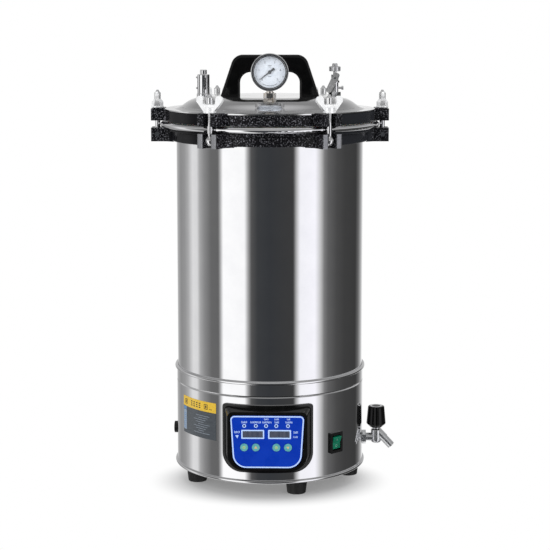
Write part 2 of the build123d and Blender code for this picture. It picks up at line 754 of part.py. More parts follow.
def lid_dome(drop):
    """The lid's top surface as a solid cap, lowered by drop."""
    foot_z = LID_EDGE_TOP - drop
    (crown_radius, crown_height), (middle_radius, middle_height) = CROWN_EDGE, SWEEP_MIDDLE
    shoulder = (crown_radius, crown_height - drop)
    middle = (middle_radius, middle_height - drop)
    edge = Polyline(
        (SWEEP_FOOT, foot_z),
        (LID_EDGE_RADIUS, foot_z),
        (LID_EDGE_RADIUS, foot_z - 20),
        (0, foot_z - 20),
        (0, PLATEAU - drop),
        (PLATEAU_RADIUS, PLATEAU - drop),
    )
    crown = TangentArc((PLATEAU_RADIUS, PLATEAU - drop), shoulder, tangent=(1, 0))
    fall = TangentArc(shoulder, middle, tangent=crown % 1)
    sweep_in = TangentArc(middle, (SWEEP_FOOT, foot_z), tangent=fall % 1)
    return revolve(Plane.XZ * make_face(edge + crown + fall + sweep_in), Axis.Z)


def lid_shell():
    shell = lid_dome(0) - lid_dome(LID_SKIN)
    high, low = PLATEAU + 5, PLATEAU - 8
    shell -= rod(6.1, low, high, 0, GAUGE_Y)
    shell -= rod(5.1, low, high, SAFETY_X, SAFETY_Y)
    shell -= rod(5.1, low, high, VENT_X, VENT_Y)
    for side in (-1, 1):
        shell -= rod(3.3, low, high, side * HANDLE_SCREW_X)
    return shell


def lid_handle():
    profile = outline(
        (-HANDLE_HALF, PLATEAU),
        (-HANDLE_TOP_HALF, HANDLE_TOP, HANDLE_CORNER),
        (HANDLE_TOP_HALF, HANDLE_TOP, HANDLE_CORNER),
        (HANDLE_HALF, PLATEAU),
        (HANDLE_GAP_HALF, PLATEAU),
        (HANDLE_GAP_HALF, HANDLE_GAP_TOP, HANDLE_GAP_CORNER),
        (-HANDLE_GAP_HALF, HANDLE_GAP_TOP, HANDLE_GAP_CORNER),
        (-HANDLE_GAP_HALF, PLATEAU),
    )
    handle = extrude(Plane.XZ * profile, HANDLE_THICK / 2, both=True)
    edges = handle.faces().filter_by(Axis.Y).edges().filter_by(lambda edge: edge.center().Z > PLATEAU + 1)
    handle = fillet(edges, HANDLE_EDGE)
    for side in (-1, 1):
        handle -= rod(3, PLATEAU - 1, PLATEAU + 16, side * HANDLE_SCREW_X)
    return handle


def handle_screws():
    under = PLATEAU - LID_SKIN
    screw = rod(SCREW_HEAD_RADIUS, under - 4, under) + rod(3, under, PLATEAU + 15)
    return Compound([Pos(side * HANDLE_SCREW_X, 0, 0) * screw for side in (-1, 1)])


# Pressure gauge, modelled face up and then stood to face the front


def stand_gauge(shape):
    return Pos(0, GAUGE_Y, GAUGE_HEIGHT) * Rot(90, 0, 0) * shape


def gauge_case():
    back, front = -GAUGE_HALF_DEPTH, GAUGE_HALF_DEPTH
    cup = turned(
        (0, back),
        (GAUGE_CASE_RADIUS, back, 3),
        (GAUGE_CASE_RADIUS, 5.2),
        (GAUGE_RADIUS, 5.2, 0.5),
        (GAUGE_RADIUS, front, 1),
        (DIAL_RADIUS - 0.4, front, 0.4),
        (DIAL_RADIUS - 0.4, front - 1.5),
        (DIAL_RADIUS + 0.3, front - 1.5),
        (DIAL_RADIUS + 0.3, back + 2),
        (3.5, back + 2),
        (3.5, 1),
        (1 + RUNNING, 1),
        (1 + RUNNING, back + 3),
        (0, back + 3),
    )
    return stand_gauge(cup)


def gauge_dial():
    return stand_gauge(turned((1.6, 3), (DIAL_RADIUS, 3), (DIAL_RADIUS, 3.8), (1.6, 3.8)))


def gauge_lens():
    front = GAUGE_HALF_DEPTH - 1.6
    return stand_gauge(rod(DIAL_RADIUS, front - 2, front))


def gauge_needle():
    blade = outline(
        (-8.5, -2.1, 1),
        (-8.5, 2.1, 1),
        (0, 1.0),
        (NEEDLE_LENGTH, 0.35),
        (NEEDLE_LENGTH, -0.35),
        (0, -1.0),
    )
    needle = Pos(0, 0, 5) * extrude(blade, 0.8)
    needle += rod(1, -9, 6)
    needle += rod(2.6, 4.6, 6.4)
    return stand_gauge(Rot(0, 0, NEEDLE_REST) * needle)


def gauge_stem():
    stem = hexagon(9.35, PLATEAU + 1, PLATEAU + 8.5)
    stem += turned(
        (0, PLATEAU - SEAT_DEPTH),
        (12, PLATEAU - SEAT_DEPTH),
        (12, PLATEAU - 3.5),
        (8, PLATEAU + 1),
        (0, PLATEAU + 1),
    )
    stem -= Pos(0, -GAUGE_Y, 0) * lid_dome(0)
    stem += rod(6.2, PLATEAU + 8.5, PLATEAU + 10)
    stem += rod(4.8, PLATEAU + 10, GAUGE_HEIGHT)
    stem += rod(6, PLATEAU - 14, PLATEAU)
    stem -= rod(1.5, PLATEAU - 15, PLATEAU + 9)
    stem = Pos(0, GAUGE_Y, 0) * stem
    return stem - stand_gauge(rod(GAUGE_CASE_RADIUS + 0.02, -30, 30))


# Safety valve: a slotted body, a spring and a stem with a pull cap


def safety_valve_body():
    body = turned(
        (0, PLATEAU - 13),
        (5, PLATEAU - 13),
        (5, PLATEAU),
        (SAFETY_RADIUS + 1, PLATEAU),
        (SAFETY_RADIUS + 1, PLATEAU + 4, 1),
        (SAFETY_RADIUS, PLATEAU + 4),
        (SAFETY_RADIUS, SAFETY_TOP, 1),
        (3, SAFETY_TOP),
        (3, SAFETY_TOP - 2),
        (7.3, SAFETY_TOP - 2),
        (7.3, PLATEAU + 7),
        (0, PLATEAU + 7),
    )
    seat = rod(SAFETY_RADIUS + 1, PLATEAU - SEAT_DEPTH, PLATEAU)
    body += seat - Pos(-SAFETY_X, -SAFETY_Y, 0) * lid_dome(0)
    body -= rod(2.5, PLATEAU - 14, PLATEAU + 8)
    slot_low, slot_high = PLATEAU + 10, SAFETY_TOP - 5
    for angle in (0, 90):
        slot = Pos(0, 0, (slot_low + slot_high) / 2) * Box(30, 3.2, slot_high - slot_low)
        body -= Rot(0, 0, angle + 20) * slot
    for height in (597.0, 613.0):
        body += Pos(-SAFETY_RADIUS - 0.6, 0, height) * Rot(0, 90, 0) * Cylinder(1.3, 2.4)
    return Pos(SAFETY_X, SAFETY_Y, 0) * body


def safety_valve_stem():
    seat = PLATEAU + 7.1
    stem = rod(6.6, seat, seat + 2)
    stem += rod(2.4, seat, SAFETY_TOP + 1)
    cap_low = SAFETY_TOP + 0.3
    stem += turned((0, cap_low), (5.2, cap_low, 0.6), (5.2, SAFETY_CAP_TOP, 1), (0, SAFETY_CAP_TOP))
    return Pos(SAFETY_X, SAFETY_Y, 0) * stem


def safety_valve_spring():
    low = PLATEAU + 7.1 + 2 + 0.9
    height = SAFETY_TOP - 2 - 0.9 - low
    coil = Helix(pitch=height / 5, height=height, radius=5)
    wire = Plane(coil @ 0, z_dir=coil % 0) * Circle(0.7)
    return Pos(SAFETY_X, SAFETY_Y, low) * sweep(wire, coil, is_frenet=True)


# Vent valve: a body with a flip lever that lifts the stem and its wheel


def vent_valve_body():
    body = hexagon(9, PLATEAU - SEAT_DEPTH, PLATEAU + 6) - Pos(-VENT_X, -VENT_Y, 0) * lid_dome(0)
    body += rod(VENT_RADIUS, PLATEAU + 6, VENT_BODY_TOP)
    body += rod(7, PLATEAU + 20, PLATEAU + 23)
    body += rod(5, PLATEAU - 13, PLATEAU)
    body += Pos(7, 0, 597) * Rot(0, 90, 0) * Cylinder(1.8, 6)
    body += Pos(11.5, 0, 597) * Rot(0, 90, 0) * Cylinder(3, 3)
    body += Pos(0, -7, VENT_PIVOT) * Rot(90, 0, 0) * Cylinder(2, 5)
    body += Pos(0, -10, VENT_PIVOT) * Rot(90, 0, 0) * Cylinder(1.6, 3)
    body -= rod(2.5 + RUNNING, PLATEAU + 10, VENT_BODY_TOP + 1)
    body -= rod(1.5, PLATEAU - 14, PLATEAU + 11)
    return Pos(VENT_X, VENT_Y, 0) * body


def vent_valve_lever():
    """A blade on the front of the body, slanting from upper right to lower left."""
    blade = outline((-4, -24, 3.5), (4, -24, 3.5), (5, 0, 3), (4, 8.5, 3), (-4, 8.5, 3), (-5, 0, 3))
    lever = extrude(Plane.XZ * blade, 2.4)
    lever -= Rot(90, 0, 0) * Cylinder(1.6 + RUNNING, 20)
    lever = Rot(0, 28, 0) * lever
    return Pos(VENT_X, VENT_Y - 9.6, VENT_PIVOT) * lever


def vent_valve_stem():
    wheel_low = 622.0
    stem = rod(2.5, PLATEAU + 12, wheel_low + 1)
    wheel_top = 629.0
    stem += turned(
        (0, wheel_low),
        (8.8, wheel_low, 1),
        (8.8, wheel_top, 1),
        (4, wheel_top + 1),
        (4, VENT_TOP, 1.5),
        (0, VENT_TOP),
    )
    for i in range(12):
        stem -= Rot(0, 0, 30 * i) * rod(1.2, wheel_low - 1, wheel_top + 0.6, 9.3)
    return Pos(VENT_X, VENT_Y, 0) * stem


def pieces():
    """Every node's name and shape."""
    yield "chamber", chamber()
    yield "collar_ring", collar_ring()
    yield "clamp_pins", clamp_pins()
    yield "base_shell", base_shell()
    yield "support_ring", support_ring()
    yield "base_plate", base_plate()
    yield "rubber_feet", rubber_feet()
    yield "foot_screws", foot_screws()
    yield "power_board", power_board()
    yield "heater_element", heater_element()
    yield "temperature_sensors", temperature_sensors()
    yield "drain_pipe", drain_pipe()
    yield "tap_body", tap_body()
    yield "tap_knob", tap_knob()
    yield "panel_bezel", panel_bezel()
    yield "panel_overlay", panel_overlay()
    yield "display_windows", display_windows()
    yield "indicator_leds", indicator_leds()
    yield "control_board", control_board()
    for number, x in enumerate(KEY_OFFSETS, 1):
        yield f"panel_key_{number}", panel_key(x)
    yield "rocker_housing", rocker_housing()
    yield "rocker_paddle", rocker_paddle()
    yield "fuse_holder", fuse_holder()
    yield "fuse_cap", fuse_cap()
    yield "cord_gland", cord_gland()
    yield "rating_plate", rating_plate()
    yield "sieve_plate", sieve_plate()
    yield "basket_lower", basket(SIEVE_HEIGHT + SIEVE_THICK)
    yield "basket_upper", basket(SIEVE_HEIGHT + SIEVE_THICK + BASKET_HEIGHT)
    yield "lid_ring", lid_ring()
    yield "lid_shell", lid_shell()
    yield "lid_gasket", lid_gasket()
    yield "lid_handle", lid_handle()
    yield "handle_screws", handle_screws()
    yield "gauge_case", gauge_case()
    yield "gauge_dial", gauge_dial()
    yield "gauge_lens", gauge_lens()
    yield "gauge_needle", gauge_needle()
    yield "gauge_stem", gauge_stem()
    yield "safety_valve_body", safety_valve_body()
    yield "safety_valve_stem", safety_valve_stem()
    yield "safety_valve_spring", safety_valve_spring()
    yield "vent_valve_body", vent_valve_body()
    yield "vent_valve_lever", vent_valve_lever()
    yield "vent_valve_stem", vent_valve_stem()
    for number, azimuth in enumerate(clamp_azimuths(), 1):
        yield f"swing_bolt_{number}", swing_bolt(azimuth)
        yield f"wing_nut_{number}", wing_nut(azimuth)


os.makedirs("parts", exist_ok=True)
for node, shape in pieces():
    export_step(shape, f"parts/{node}.step")
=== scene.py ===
import math

import bmesh
import bpy
from mathutils import Matrix, Vector


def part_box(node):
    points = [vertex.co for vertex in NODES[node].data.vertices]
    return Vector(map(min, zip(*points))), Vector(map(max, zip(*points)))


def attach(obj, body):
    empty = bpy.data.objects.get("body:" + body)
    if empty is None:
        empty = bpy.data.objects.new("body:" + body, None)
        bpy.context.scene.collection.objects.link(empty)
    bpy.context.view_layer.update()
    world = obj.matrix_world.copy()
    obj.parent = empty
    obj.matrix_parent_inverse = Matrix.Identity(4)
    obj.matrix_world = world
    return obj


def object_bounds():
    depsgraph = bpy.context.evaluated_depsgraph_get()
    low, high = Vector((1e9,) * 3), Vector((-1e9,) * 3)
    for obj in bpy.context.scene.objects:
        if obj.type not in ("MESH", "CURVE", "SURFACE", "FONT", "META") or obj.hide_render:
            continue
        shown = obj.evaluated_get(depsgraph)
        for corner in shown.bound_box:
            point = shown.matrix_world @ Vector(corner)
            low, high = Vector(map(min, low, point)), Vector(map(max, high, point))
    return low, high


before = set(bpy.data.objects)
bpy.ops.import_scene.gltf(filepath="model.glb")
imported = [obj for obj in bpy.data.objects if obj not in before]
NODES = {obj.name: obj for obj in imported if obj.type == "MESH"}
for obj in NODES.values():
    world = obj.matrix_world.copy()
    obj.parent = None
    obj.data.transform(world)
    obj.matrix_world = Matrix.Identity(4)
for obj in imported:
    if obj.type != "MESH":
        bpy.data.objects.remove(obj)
CAD_LOW, CAD_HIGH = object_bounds()
MM = 0.001
UP = Vector((0, 0, 1))


# ---------------------------------------------------------------- looks

class Look:
    """A procedural material: a Principled shader with textures in the object's own coordinates."""

    def __init__(self, name, color, **sockets):
        self.material = bpy.data.materials.new(name)
        self.material.use_nodes = True
        self.tree = self.material.node_tree
        self.shader = self.tree.nodes["Principled BSDF"]
        self.shader.inputs["Base Color"].default_value = (*color, 1)
        for socket, value in sockets.items():
            self.shader.inputs[socket.replace("_", " ")].default_value = value
        self.coords = self.node("ShaderNodeTexCoord").outputs["Object"]

    def node(self, kind, **settings):
        made = self.tree.nodes.new(kind)
        for key, value in settings.items():
            setattr(made, key, value)
        return made

    def feed(self, target, value):
        if isinstance(value, bpy.types.NodeSocket):
            self.tree.links.new(value, target)
        else:
            target.default_value = value

    def math(self, operation, a, b=0.0, c=0.0):
        made = self.node("ShaderNodeMath", operation=operation)
        for socket, value in zip(made.inputs, (a, b, c)):
            self.feed(socket, value)
        return made.outputs[0]

    def xyz(self, vector=None):
        made = self.node("ShaderNodeSeparateXYZ")
        self.feed(made.inputs[0], vector or self.coords)
        return made.outputs

    def from_axis(self):
        """Distance from the vessel's axis."""
        x, y = self.xyz()[:2]
        return self.math("SQRT", self.math("ADD", self.math("MULTIPLY", x, x), self.math("MULTIPLY", y, y)))

    def azimuth(self):
        """Angle round the vessel's axis in radians, 0 at the front."""
        x, y = self.xyz()[:2]
        return self.math("ARCTAN2", x, self.math("MULTIPLY", y, -1.0))

    def scaled(self, x, y, z, vector=None):
        made = self.node("ShaderNodeVectorMath", operation="MULTIPLY")
        self.feed(made.inputs[0], vector or self.coords)
        self.feed(made.inputs[1], (x, y, z))
        return made.outputs[0]

    def noise(self, scale, detail=3.0, vector=None, rough=0.55):
        made = self.node("ShaderNodeTexNoise")
        self.feed(made.inputs["Vector"], vector or self.coords)
        made.inputs["Scale"].default_value = scale
        made.inputs["Detail"].default_value = detail
        made.inputs["Roughness"].default_value = rough
        return made.outputs["Fac"]

    def cells(self, scale, vector=None, feature="SMOOTH_F1"):
        made = self.node("ShaderNodeTexVoronoi", feature=feature)
        self.feed(made.inputs["Vector"], vector or self.coords)
        made.inputs["Scale"].default_value = scale
        return made.outputs["Distance"]

    def span(self, value, low, high, to_low, to_high, smooth=False):
        made = self.node("ShaderNodeMapRange")
        if smooth:
            made.interpolation_type = "SMOOTHSTEP"
        for index, item in enumerate((value, low, high, to_low, to_high)):
            self.feed(made.inputs[index], item)
        return made.outputs[0]

    def blend(self, share, first, second):
        made = self.node("ShaderNodeMix", data_type="RGBA")
        self.feed(made.inputs["Factor"], share)
        for label, value in (("A", first), ("B", second)):
            socket = [s for s in made.inputs if s.name == label and s.type == "RGBA"][0]
            self.feed(socket, value if isinstance(value, bpy.types.NodeSocket) else (*value, 1))
        return [s for s in made.outputs if s.type == "RGBA"][0]

    def color(self, value):
        self.feed(self.shader.inputs["Base Color"], value)

    def mottled(self, noise, low, high, first, second):
        """Base colour that drifts from one shade to another as the noise goes from low to high."""
        self.color(self.blend(self.span(noise, low, high, 0, 1), first, second))

    def roughness(self, value):
        self.feed(self.shader.inputs["Roughness"], value)

    def metallic(self, value):
        self.feed(self.shader.inputs["Metallic"], value)

    def bump(self, height, depth, strength=1.0):
        made = self.node("ShaderNodeBump")
        made.inputs["Strength"].default_value = strength
        made.inputs["Distance"].default_value = depth
        self.feed(made.inputs["Height"], height)
        if self.shader.inputs["Normal"].links:
            self.feed(made.inputs["Normal"], self.shader.inputs["Normal"].links[0].from_socket)
        self.feed(self.shader.inputs["Normal"], made.outputs[0])
        return made.outputs[0]

    def worn(self, low, high, scale=40.0):
        """Roughness that drifts between two values."""
        self.roughness(self.span(self.noise(scale, 4), 0.3, 0.7, low, high))
        return self


STEEL = (0.80, 0.80, 0.81)
DARK_STEEL = (0.62, 0.62, 0.63)
CLAMP_PITCH = math.pi / 3
CLAMP_ORBIT = 0.1706
GROUND_START = 0.1794
BETWEEN_LUGS = 0.538
PAD_START, PAD_END = 0.65, 1.46
HUB_EDGE = 5.2 * MM
THREAD_START = 0.552
THREAD_PITCH = 1.25 * MM
IN_THE_WALL = 0.1405


def mirror_steel(name):
    """Mirror-polished sheet: faint upright draw lines, smudges and a hint of waviness."""
    look = Look(name, STEEL, Metallic=1.0)
    drawn = look.noise(1.0, 3, look.scaled(900, 900, 6))
    smudge = look.noise(14, 5)
    rough = look.math("MULTIPLY_ADD", drawn, 0.03, 0.025)
    look.roughness(look.math("MULTIPLY_ADD", look.span(smudge, 0.45, 0.75, 0, 1), 0.03, rough))
    look.mottled(look.noise(30, 4), 0.35, 0.7, STEEL, (0.76, 0.76, 0.775))
    look.bump(look.noise(5, 1), 0.0006, 0.25)
    return look


def vessel_steel():
    """The same sheet outside, satin inside the vessel."""
    look = mirror_steel("vessel_steel")
    outside = look.span(look.from_axis(), IN_THE_WALL, IN_THE_WALL + 0.7 * MM, 0, 1)
    polished = look.shader.inputs["Roughness"].links[0].from_socket
    satin = look.span(look.noise(1.0, 4, look.scaled(60, 60, 900)), 0.3, 0.7, 0.2, 0.38)
    mixed = look.math("ADD", look.math("MULTIPLY", outside, polished),
                      look.math("MULTIPLY", look.math("SUBTRACT", 1.0, outside), satin))
    look.roughness(mixed)
    return look


def satin_steel():
    look = Look("satin_steel", DARK_STEEL, Metallic=1.0)
    brushed = look.noise(1.0, 5, look.scaled(80, 80, 1500))
    look.roughness(look.span(brushed, 0.3, 0.7, 0.2, 0.42))
    look.color(look.blend(look.noise(25, 4), DARK_STEEL, (0.5, 0.49, 0.48)))
    look.bump(brushed, 0.00004, 0.5)
    return look


def lid_steel():
    """Spun lid plate: fine turning rings round the axis under the polish."""
    look = Look("lid_steel", (0.74, 0.74, 0.75), Metallic=1.0)
    radius = look.node("ShaderNodeCombineXYZ")
    look.feed(radius.inputs[0], look.from_axis())
    rings = look.noise(1400, 2, radius.outputs[0])
    look.roughness(look.span(look.math("ADD", rings, look.noise(18, 4)), 0.7, 1.3, 0.06, 0.15))
    look.bump(rings, 0.00002, 0.4)
    return look


def hammertone():
    """Black hammered enamel on cast iron: dimples and silvery flecks, wiped smooth on the side pads,
    with the lower lugs' ends ground to bare metal. Painted light: the flecks are painted brighter on the left
    and dimmer to the right, and the wiped pads right of the front get a painted sheen."""
    look = Look("hammertone", (0.006, 0.006, 0.007),
                Coat_Weight=0.02, Coat_Roughness=0.08, Specular_IOR_Level=0.1)
    z = look.xyz()[2]
    azimuth = look.azimuth()
    side = look.math("ABSOLUTE", azimuth)
    past_start = look.span(side, PAD_START, PAD_START + 0.03, 0, 1)
    before_end = look.span(side, PAD_END - 0.03, PAD_END, 1, 0)
    wiped = look.math("MULTIPLY", past_start, before_end)
    off_lug = look.math("SUBTRACT", look.math("FLOORED_MODULO", azimuth, CLAMP_PITCH), CLAMP_PITCH / 2)
    reach = look.math("MULTIPLY", look.from_axis(), look.math("COSINE", off_lug))
    lug_end = look.span(reach, GROUND_START, GROUND_START + 0.3 * MM, 0, 1)
    ground = look.math("MULTIPLY", lug_end, look.span(z, BETWEEN_LUGS, BETWEEN_LUGS + MM, 1, 0))
    rough_skin = look.math("SUBTRACT", 1.0, look.math("MAXIMUM", wiped, ground))
    warp = look.node("ShaderNodeVectorMath", operation="ADD")
    jitter = look.node("ShaderNodeTexNoise")
    look.feed(jitter.inputs["Vector"], look.coords)
    jitter.inputs["Scale"].default_value = 260
    look.feed(warp.inputs[0], look.coords)
    look.feed(warp.inputs[1], look.scaled(0.0018, 0.0018, 0.0018, jitter.outputs["Color"]))
    cell = look.cells(330, warp.outputs[0])
    fleck = look.span(look.noise(480, 3), 0.55, 0.68, 0, 1)
    # Painted light: fleck brightness fades with azimuth, bright on the left and dim on the right
    left_painted_light = look.span(azimuth, -0.35, 0.5, 0.85, 0.45)
    flecks_and_painted_light = look.math("MULTIPLY", look.math("MULTIPLY", fleck, rough_skin), left_painted_light)
    # Painted sheen: the wiped pads right of the front get a lighter enamel colour
    painted_sheen_right = look.math("MULTIPLY", wiped, look.span(azimuth, 0.5, 0.6, 0, 1))
    enamel = look.blend(painted_sheen_right, (0.004, 0.004, 0.005), (0.016, 0.017, 0.02))
    shade = look.blend(flecks_and_painted_light, enamel, (0.30, 0.30, 0.33))
    metal = look.blend(look.noise(90, 4), (0.42, 0.42, 0.44), (0.30, 0.31, 0.33))
    look.color(look.blend(ground, shade, metal))
    look.metallic(look.math("MAXIMUM", look.math("MULTIPLY", flecks_and_painted_light, 0.8), ground))
    look.roughness(look.math("MULTIPLY_ADD", ground, 0.1, look.span(cell, 0.1, 0.6, 0.12, 0.26)))
    look.bump(look.math("MULTIPLY", look.math("SUBTRACT", 1.0, cell), rough_skin), 0.0006, 0.9)
    look.bump(look.noise(40, 2), 0.0002, 0.2)
    return look


def plated(name, color=(0.82, 0.82, 0.83), low=0.07, high=0.2, grain=0.00003):
    """Bright plating over a turned part, with a few dull spots."""
    look = Look(name, color, Metallic=1.0)
    look.worn(low, high, 160)
    dull = tuple(c * 0.86 for c in color)
    look.mottled(look.noise(240, 5), 0.45, 0.75, color, dull)
    look.bump(look.noise(700, 3), grain, 0.5)
    return look


def cast_zinc():
    """Cast wing nut: bright satin zinc on the wings, barer metal on the turned hub."""
    look = Look("wing_zinc", (0.93, 0.93, 0.93), Metallic=0.5)
    radius = look.from_axis()
    off_nut = look.math("SUBTRACT", look.math("FLOORED_MODULO", look.azimuth(), CLAMP_PITCH), CLAMP_PITCH / 2)
    across = look.math("MULTIPLY", radius, look.math("SINE", off_nut))
    out = look.math("SUBTRACT", look.math("MULTIPLY", radius, look.math("COSINE", off_nut)), CLAMP_ORBIT)
    squares = look.math("ADD", look.math("MULTIPLY", across, across), look.math("MULTIPLY", out, out))
    hub = look.span(look.math("SQRT", squares), HUB_EDGE, HUB_EDGE + 0.4 * MM, 1, 0)
    look.metallic(look.math("MULTIPLY_ADD", hub, 0.5, 0.45))
    look.worn(0.14, 0.26, 130)
    look.mottled(look.noise(90, 4), 0.45, 0.75, (0.95, 0.95, 0.95), (0.84, 0.85, 0.86))
    look.bump(look.noise(150, 2), 0.00004, 0.4)
    return look


def threaded():
    """Plated bolt: a fine thread on the upper shank, plain below."""
    look = plated("bolt_plating", (0.92, 0.92, 0.93), 0.1, 0.24)
    z = look.xyz()[2]
    wave = look.math("SINE", look.math("MULTIPLY", z, 2 * math.pi / THREAD_PITCH))
    cut = look.span(z, THREAD_START, THREAD_START + 4 * MM, 0, 1)
    look.bump(look.math("MULTIPLY", wave, cut), 0.00018, 0.8)
    return look


def black_plastic(name, tint=0.006, low=0.06, high=0.16, coat=0.6, grain=0.00003):
    """Moulded black phenolic: a wet gloss with faint flow marks and handling scuffs."""
    look = Look(name, (tint, tint, tint * 1.08),
                Coat_Weight=coat, Coat_Roughness=0.05, Specular_IOR_Level=0.25)
    look.worn(low, high, 60)
    look.mottled(look.noise(90, 5), 0.4, 0.75, (tint,) * 3, (tint * 1.9,) * 3)
    look.bump(look.noise(420, 3), grain, 0.5)
    return look


def rubber(name="foot_rubber", tint=0.005):
    look = Look(name, (tint,) * 3)
    look.worn(0.5, 0.75, 120)
    look.mottled(look.noise(300, 4), 0.5, 0.8, (tint,) * 3, (tint * 3,) * 3)
    look.bump(look.noise(1100, 3), 0.00012, 0.7)
    return look


def film(name, color, deep, low=0.22, high=0.36):
    """Printed polyester film with an orange-peel gloss."""
    look = Look(name, color, Coat_Weight=0.02, Coat_Roughness=0.15, Specular_IOR_Level=0.12)
    look.worn(low, high, 90)
    look.mottled(look.noise(45, 4), 0.35, 0.7, color, deep)
    look.bump(look.noise(900, 2), 0.00002, 0.5)
    return look


def smoked_window():
    look = Look("smoked_window", (0.035, 0.032, 0.045), Coat_Weight=0.6, Coat_Roughness=0.08)
    streaks = look.noise(1.0, 2, look.scaled(260, 1, 60))
    look.mottled(streaks, 0.35, 0.7, (0.045, 0.055, 0.085), (0.075, 0.08, 0.11))
    look.worn(0.12, 0.24, 200)
    look.bump(look.noise(600, 2), 0.00001, 0.4)
    return look


def key_cap():
    """Turquoise moulded cap, lightly clouded."""
    look = Look("key_cap", (0.2, 0.72, 0.62), Coat_Weight=0.4, Coat_Roughness=0.12)
    look.mottled(look.noise(260, 4), 0.35, 0.7, (0.07, 0.31, 0.33), (0.12, 0.37, 0.385))
    look.worn(0.22, 0.36, 300)
    look.bump(look.noise(1300, 2), 0.00003, 0.5)
    return look


def silicone():
    look = Look("seal_silicone", (0.62, 0.6, 0.56), Subsurface_Weight=0.2, Subsurface_Scale=0.002)
    look.worn(0.4, 0.6, 90)
    look.color(look.blend(look.noise(70, 4), (0.64, 0.62, 0.58), (0.54, 0.51, 0.46)))
    look.bump(look.noise(800, 3), 0.00005, 0.5)
    return look


PLATE_STRIP_SHARE = 0.73


def plate_strip_height():
    """Height where the rating plate's grey foil meets its yellow strip."""
    low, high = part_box("rating_plate")
    return low.z + (high.z - low.z) * PLATE_STRIP_SHARE


def label_print():
    """Rating plate: brushed grey foil below, a yellow strip above."""
    look = Look("label_print", (0.2, 0.2, 0.21), Metallic=0.0)
    z = look.xyz()[2]
    strip = plate_strip_height()
    above = look.span(z, strip - 0.0003, strip + 0.0003, 0, 1)
    brushed = look.noise(1.0, 4, look.scaled(60, 60, 1600))
    foil = look.blend(look.span(brushed, 0.3, 0.7, 0, 1), (0.05, 0.058, 0.068), (0.10, 0.112, 0.125))
    ink = look.blend(look.span(look.noise(200, 4), 0.4, 0.7, 0, 1), (0.66, 0.43, 0.03), (0.58, 0.37, 0.025))
    look.color(look.blend(above, foil, ink))
    look.metallic(look.span(above, 0, 1, 0.35, 0.0))
    look.roughness(look.span(brushed, 0.3, 0.7, 0.28, 0.42))
    look.bump(brushed, 0.00002, 0.5)
    return look


def dial_card():
    look = Look("dial_card", (0.86, 0.88, 0.9))
    look.worn(0.35, 0.5, 200)
    look.mottled(look.noise(150, 4), 0.4, 0.8, (0.78, 0.82, 0.88), (0.68, 0.73, 0.81))
    look.bump(look.noise(1200, 2), 0.00002, 0.4)
    return look


def printed(name, color, low=0.35, high=0.5):
    """Screen-printed ink with uneven cover."""
    look = Look(name, color)
    look.worn(low, high, 400)
    look.mottled(look.noise(700, 3), 0.45, 0.8, color, tuple(c * 0.82 for c in color))
    look.bump(look.noise(1500, 2), 0.00001, 0.4)
    return look


def glass():
    """Flat lens: all but clear, with a light haze of handling marks."""
    look = Look("gauge_glass", (0.93, 0.97, 1.0), Alpha=0.06, Coat_Weight=1.0, Coat_Roughness=0.03)
    look.roughness(look.span(look.noise(120, 5), 0.6, 0.85, 0.02, 0.08))
    look.color(look.blend(look.noise(80, 4), (0.93, 0.97, 1.0), (0.86, 0.92, 0.98)))
    look.bump(look.noise(60, 2), 0.00001, 0.2)
    return look


def brass_plated():
    """Nickelled brass: warmer where the plating is thin."""
    look = Look("nickelled_brass", (0.78, 0.72, 0.62), Metallic=1.0)
    look.mottled(look.noise(130, 5), 0.4, 0.65, (0.88, 0.87, 0.86), (0.80, 0.72, 0.62))
    look.worn(0.1, 0.24, 200)
    look.bump(look.noise(600, 3), 0.00003, 0.5)
    return look


def circuit():
    look = Look("circuit_board", (0.02, 0.1, 0.05))
    tracks = look.span(look.noise(1.0, 1, look.scaled(500, 500, 90)), 0.48, 0.52, 0, 1)
    look.color(look.blend(tracks, (0.015, 0.09, 0.045), (0.03, 0.16, 0.07)))
    look.worn(0.3, 0.5, 300)
    look.bump(tracks, 0.00003, 0.6)
    return look


def green_rocker():
    look = Look("green_rocker", (0.0, 0.17, 0.085), Coat_Weight=0.5, Coat_Roughness=0.1)
    look.mottled(look.noise(160, 4), 0.35, 0.7, (0.0, 0.11, 0.058), (0.0, 0.17, 0.09))
    look.worn(0.16, 0.3, 200)
    look.bump(look.noise(900, 2), 0.00003, 0.5)
    return look


def lamp():
    look = Look("lamp_resin", (0.02, 0.03, 0.12), Coat_Weight=0.8, Coat_Roughness=0.05)
    look.color(look.blend(look.noise(900, 2), (0.02, 0.03, 0.1), (0.03, 0.06, 0.22)))
    look.worn(0.1, 0.25, 400)
    return look


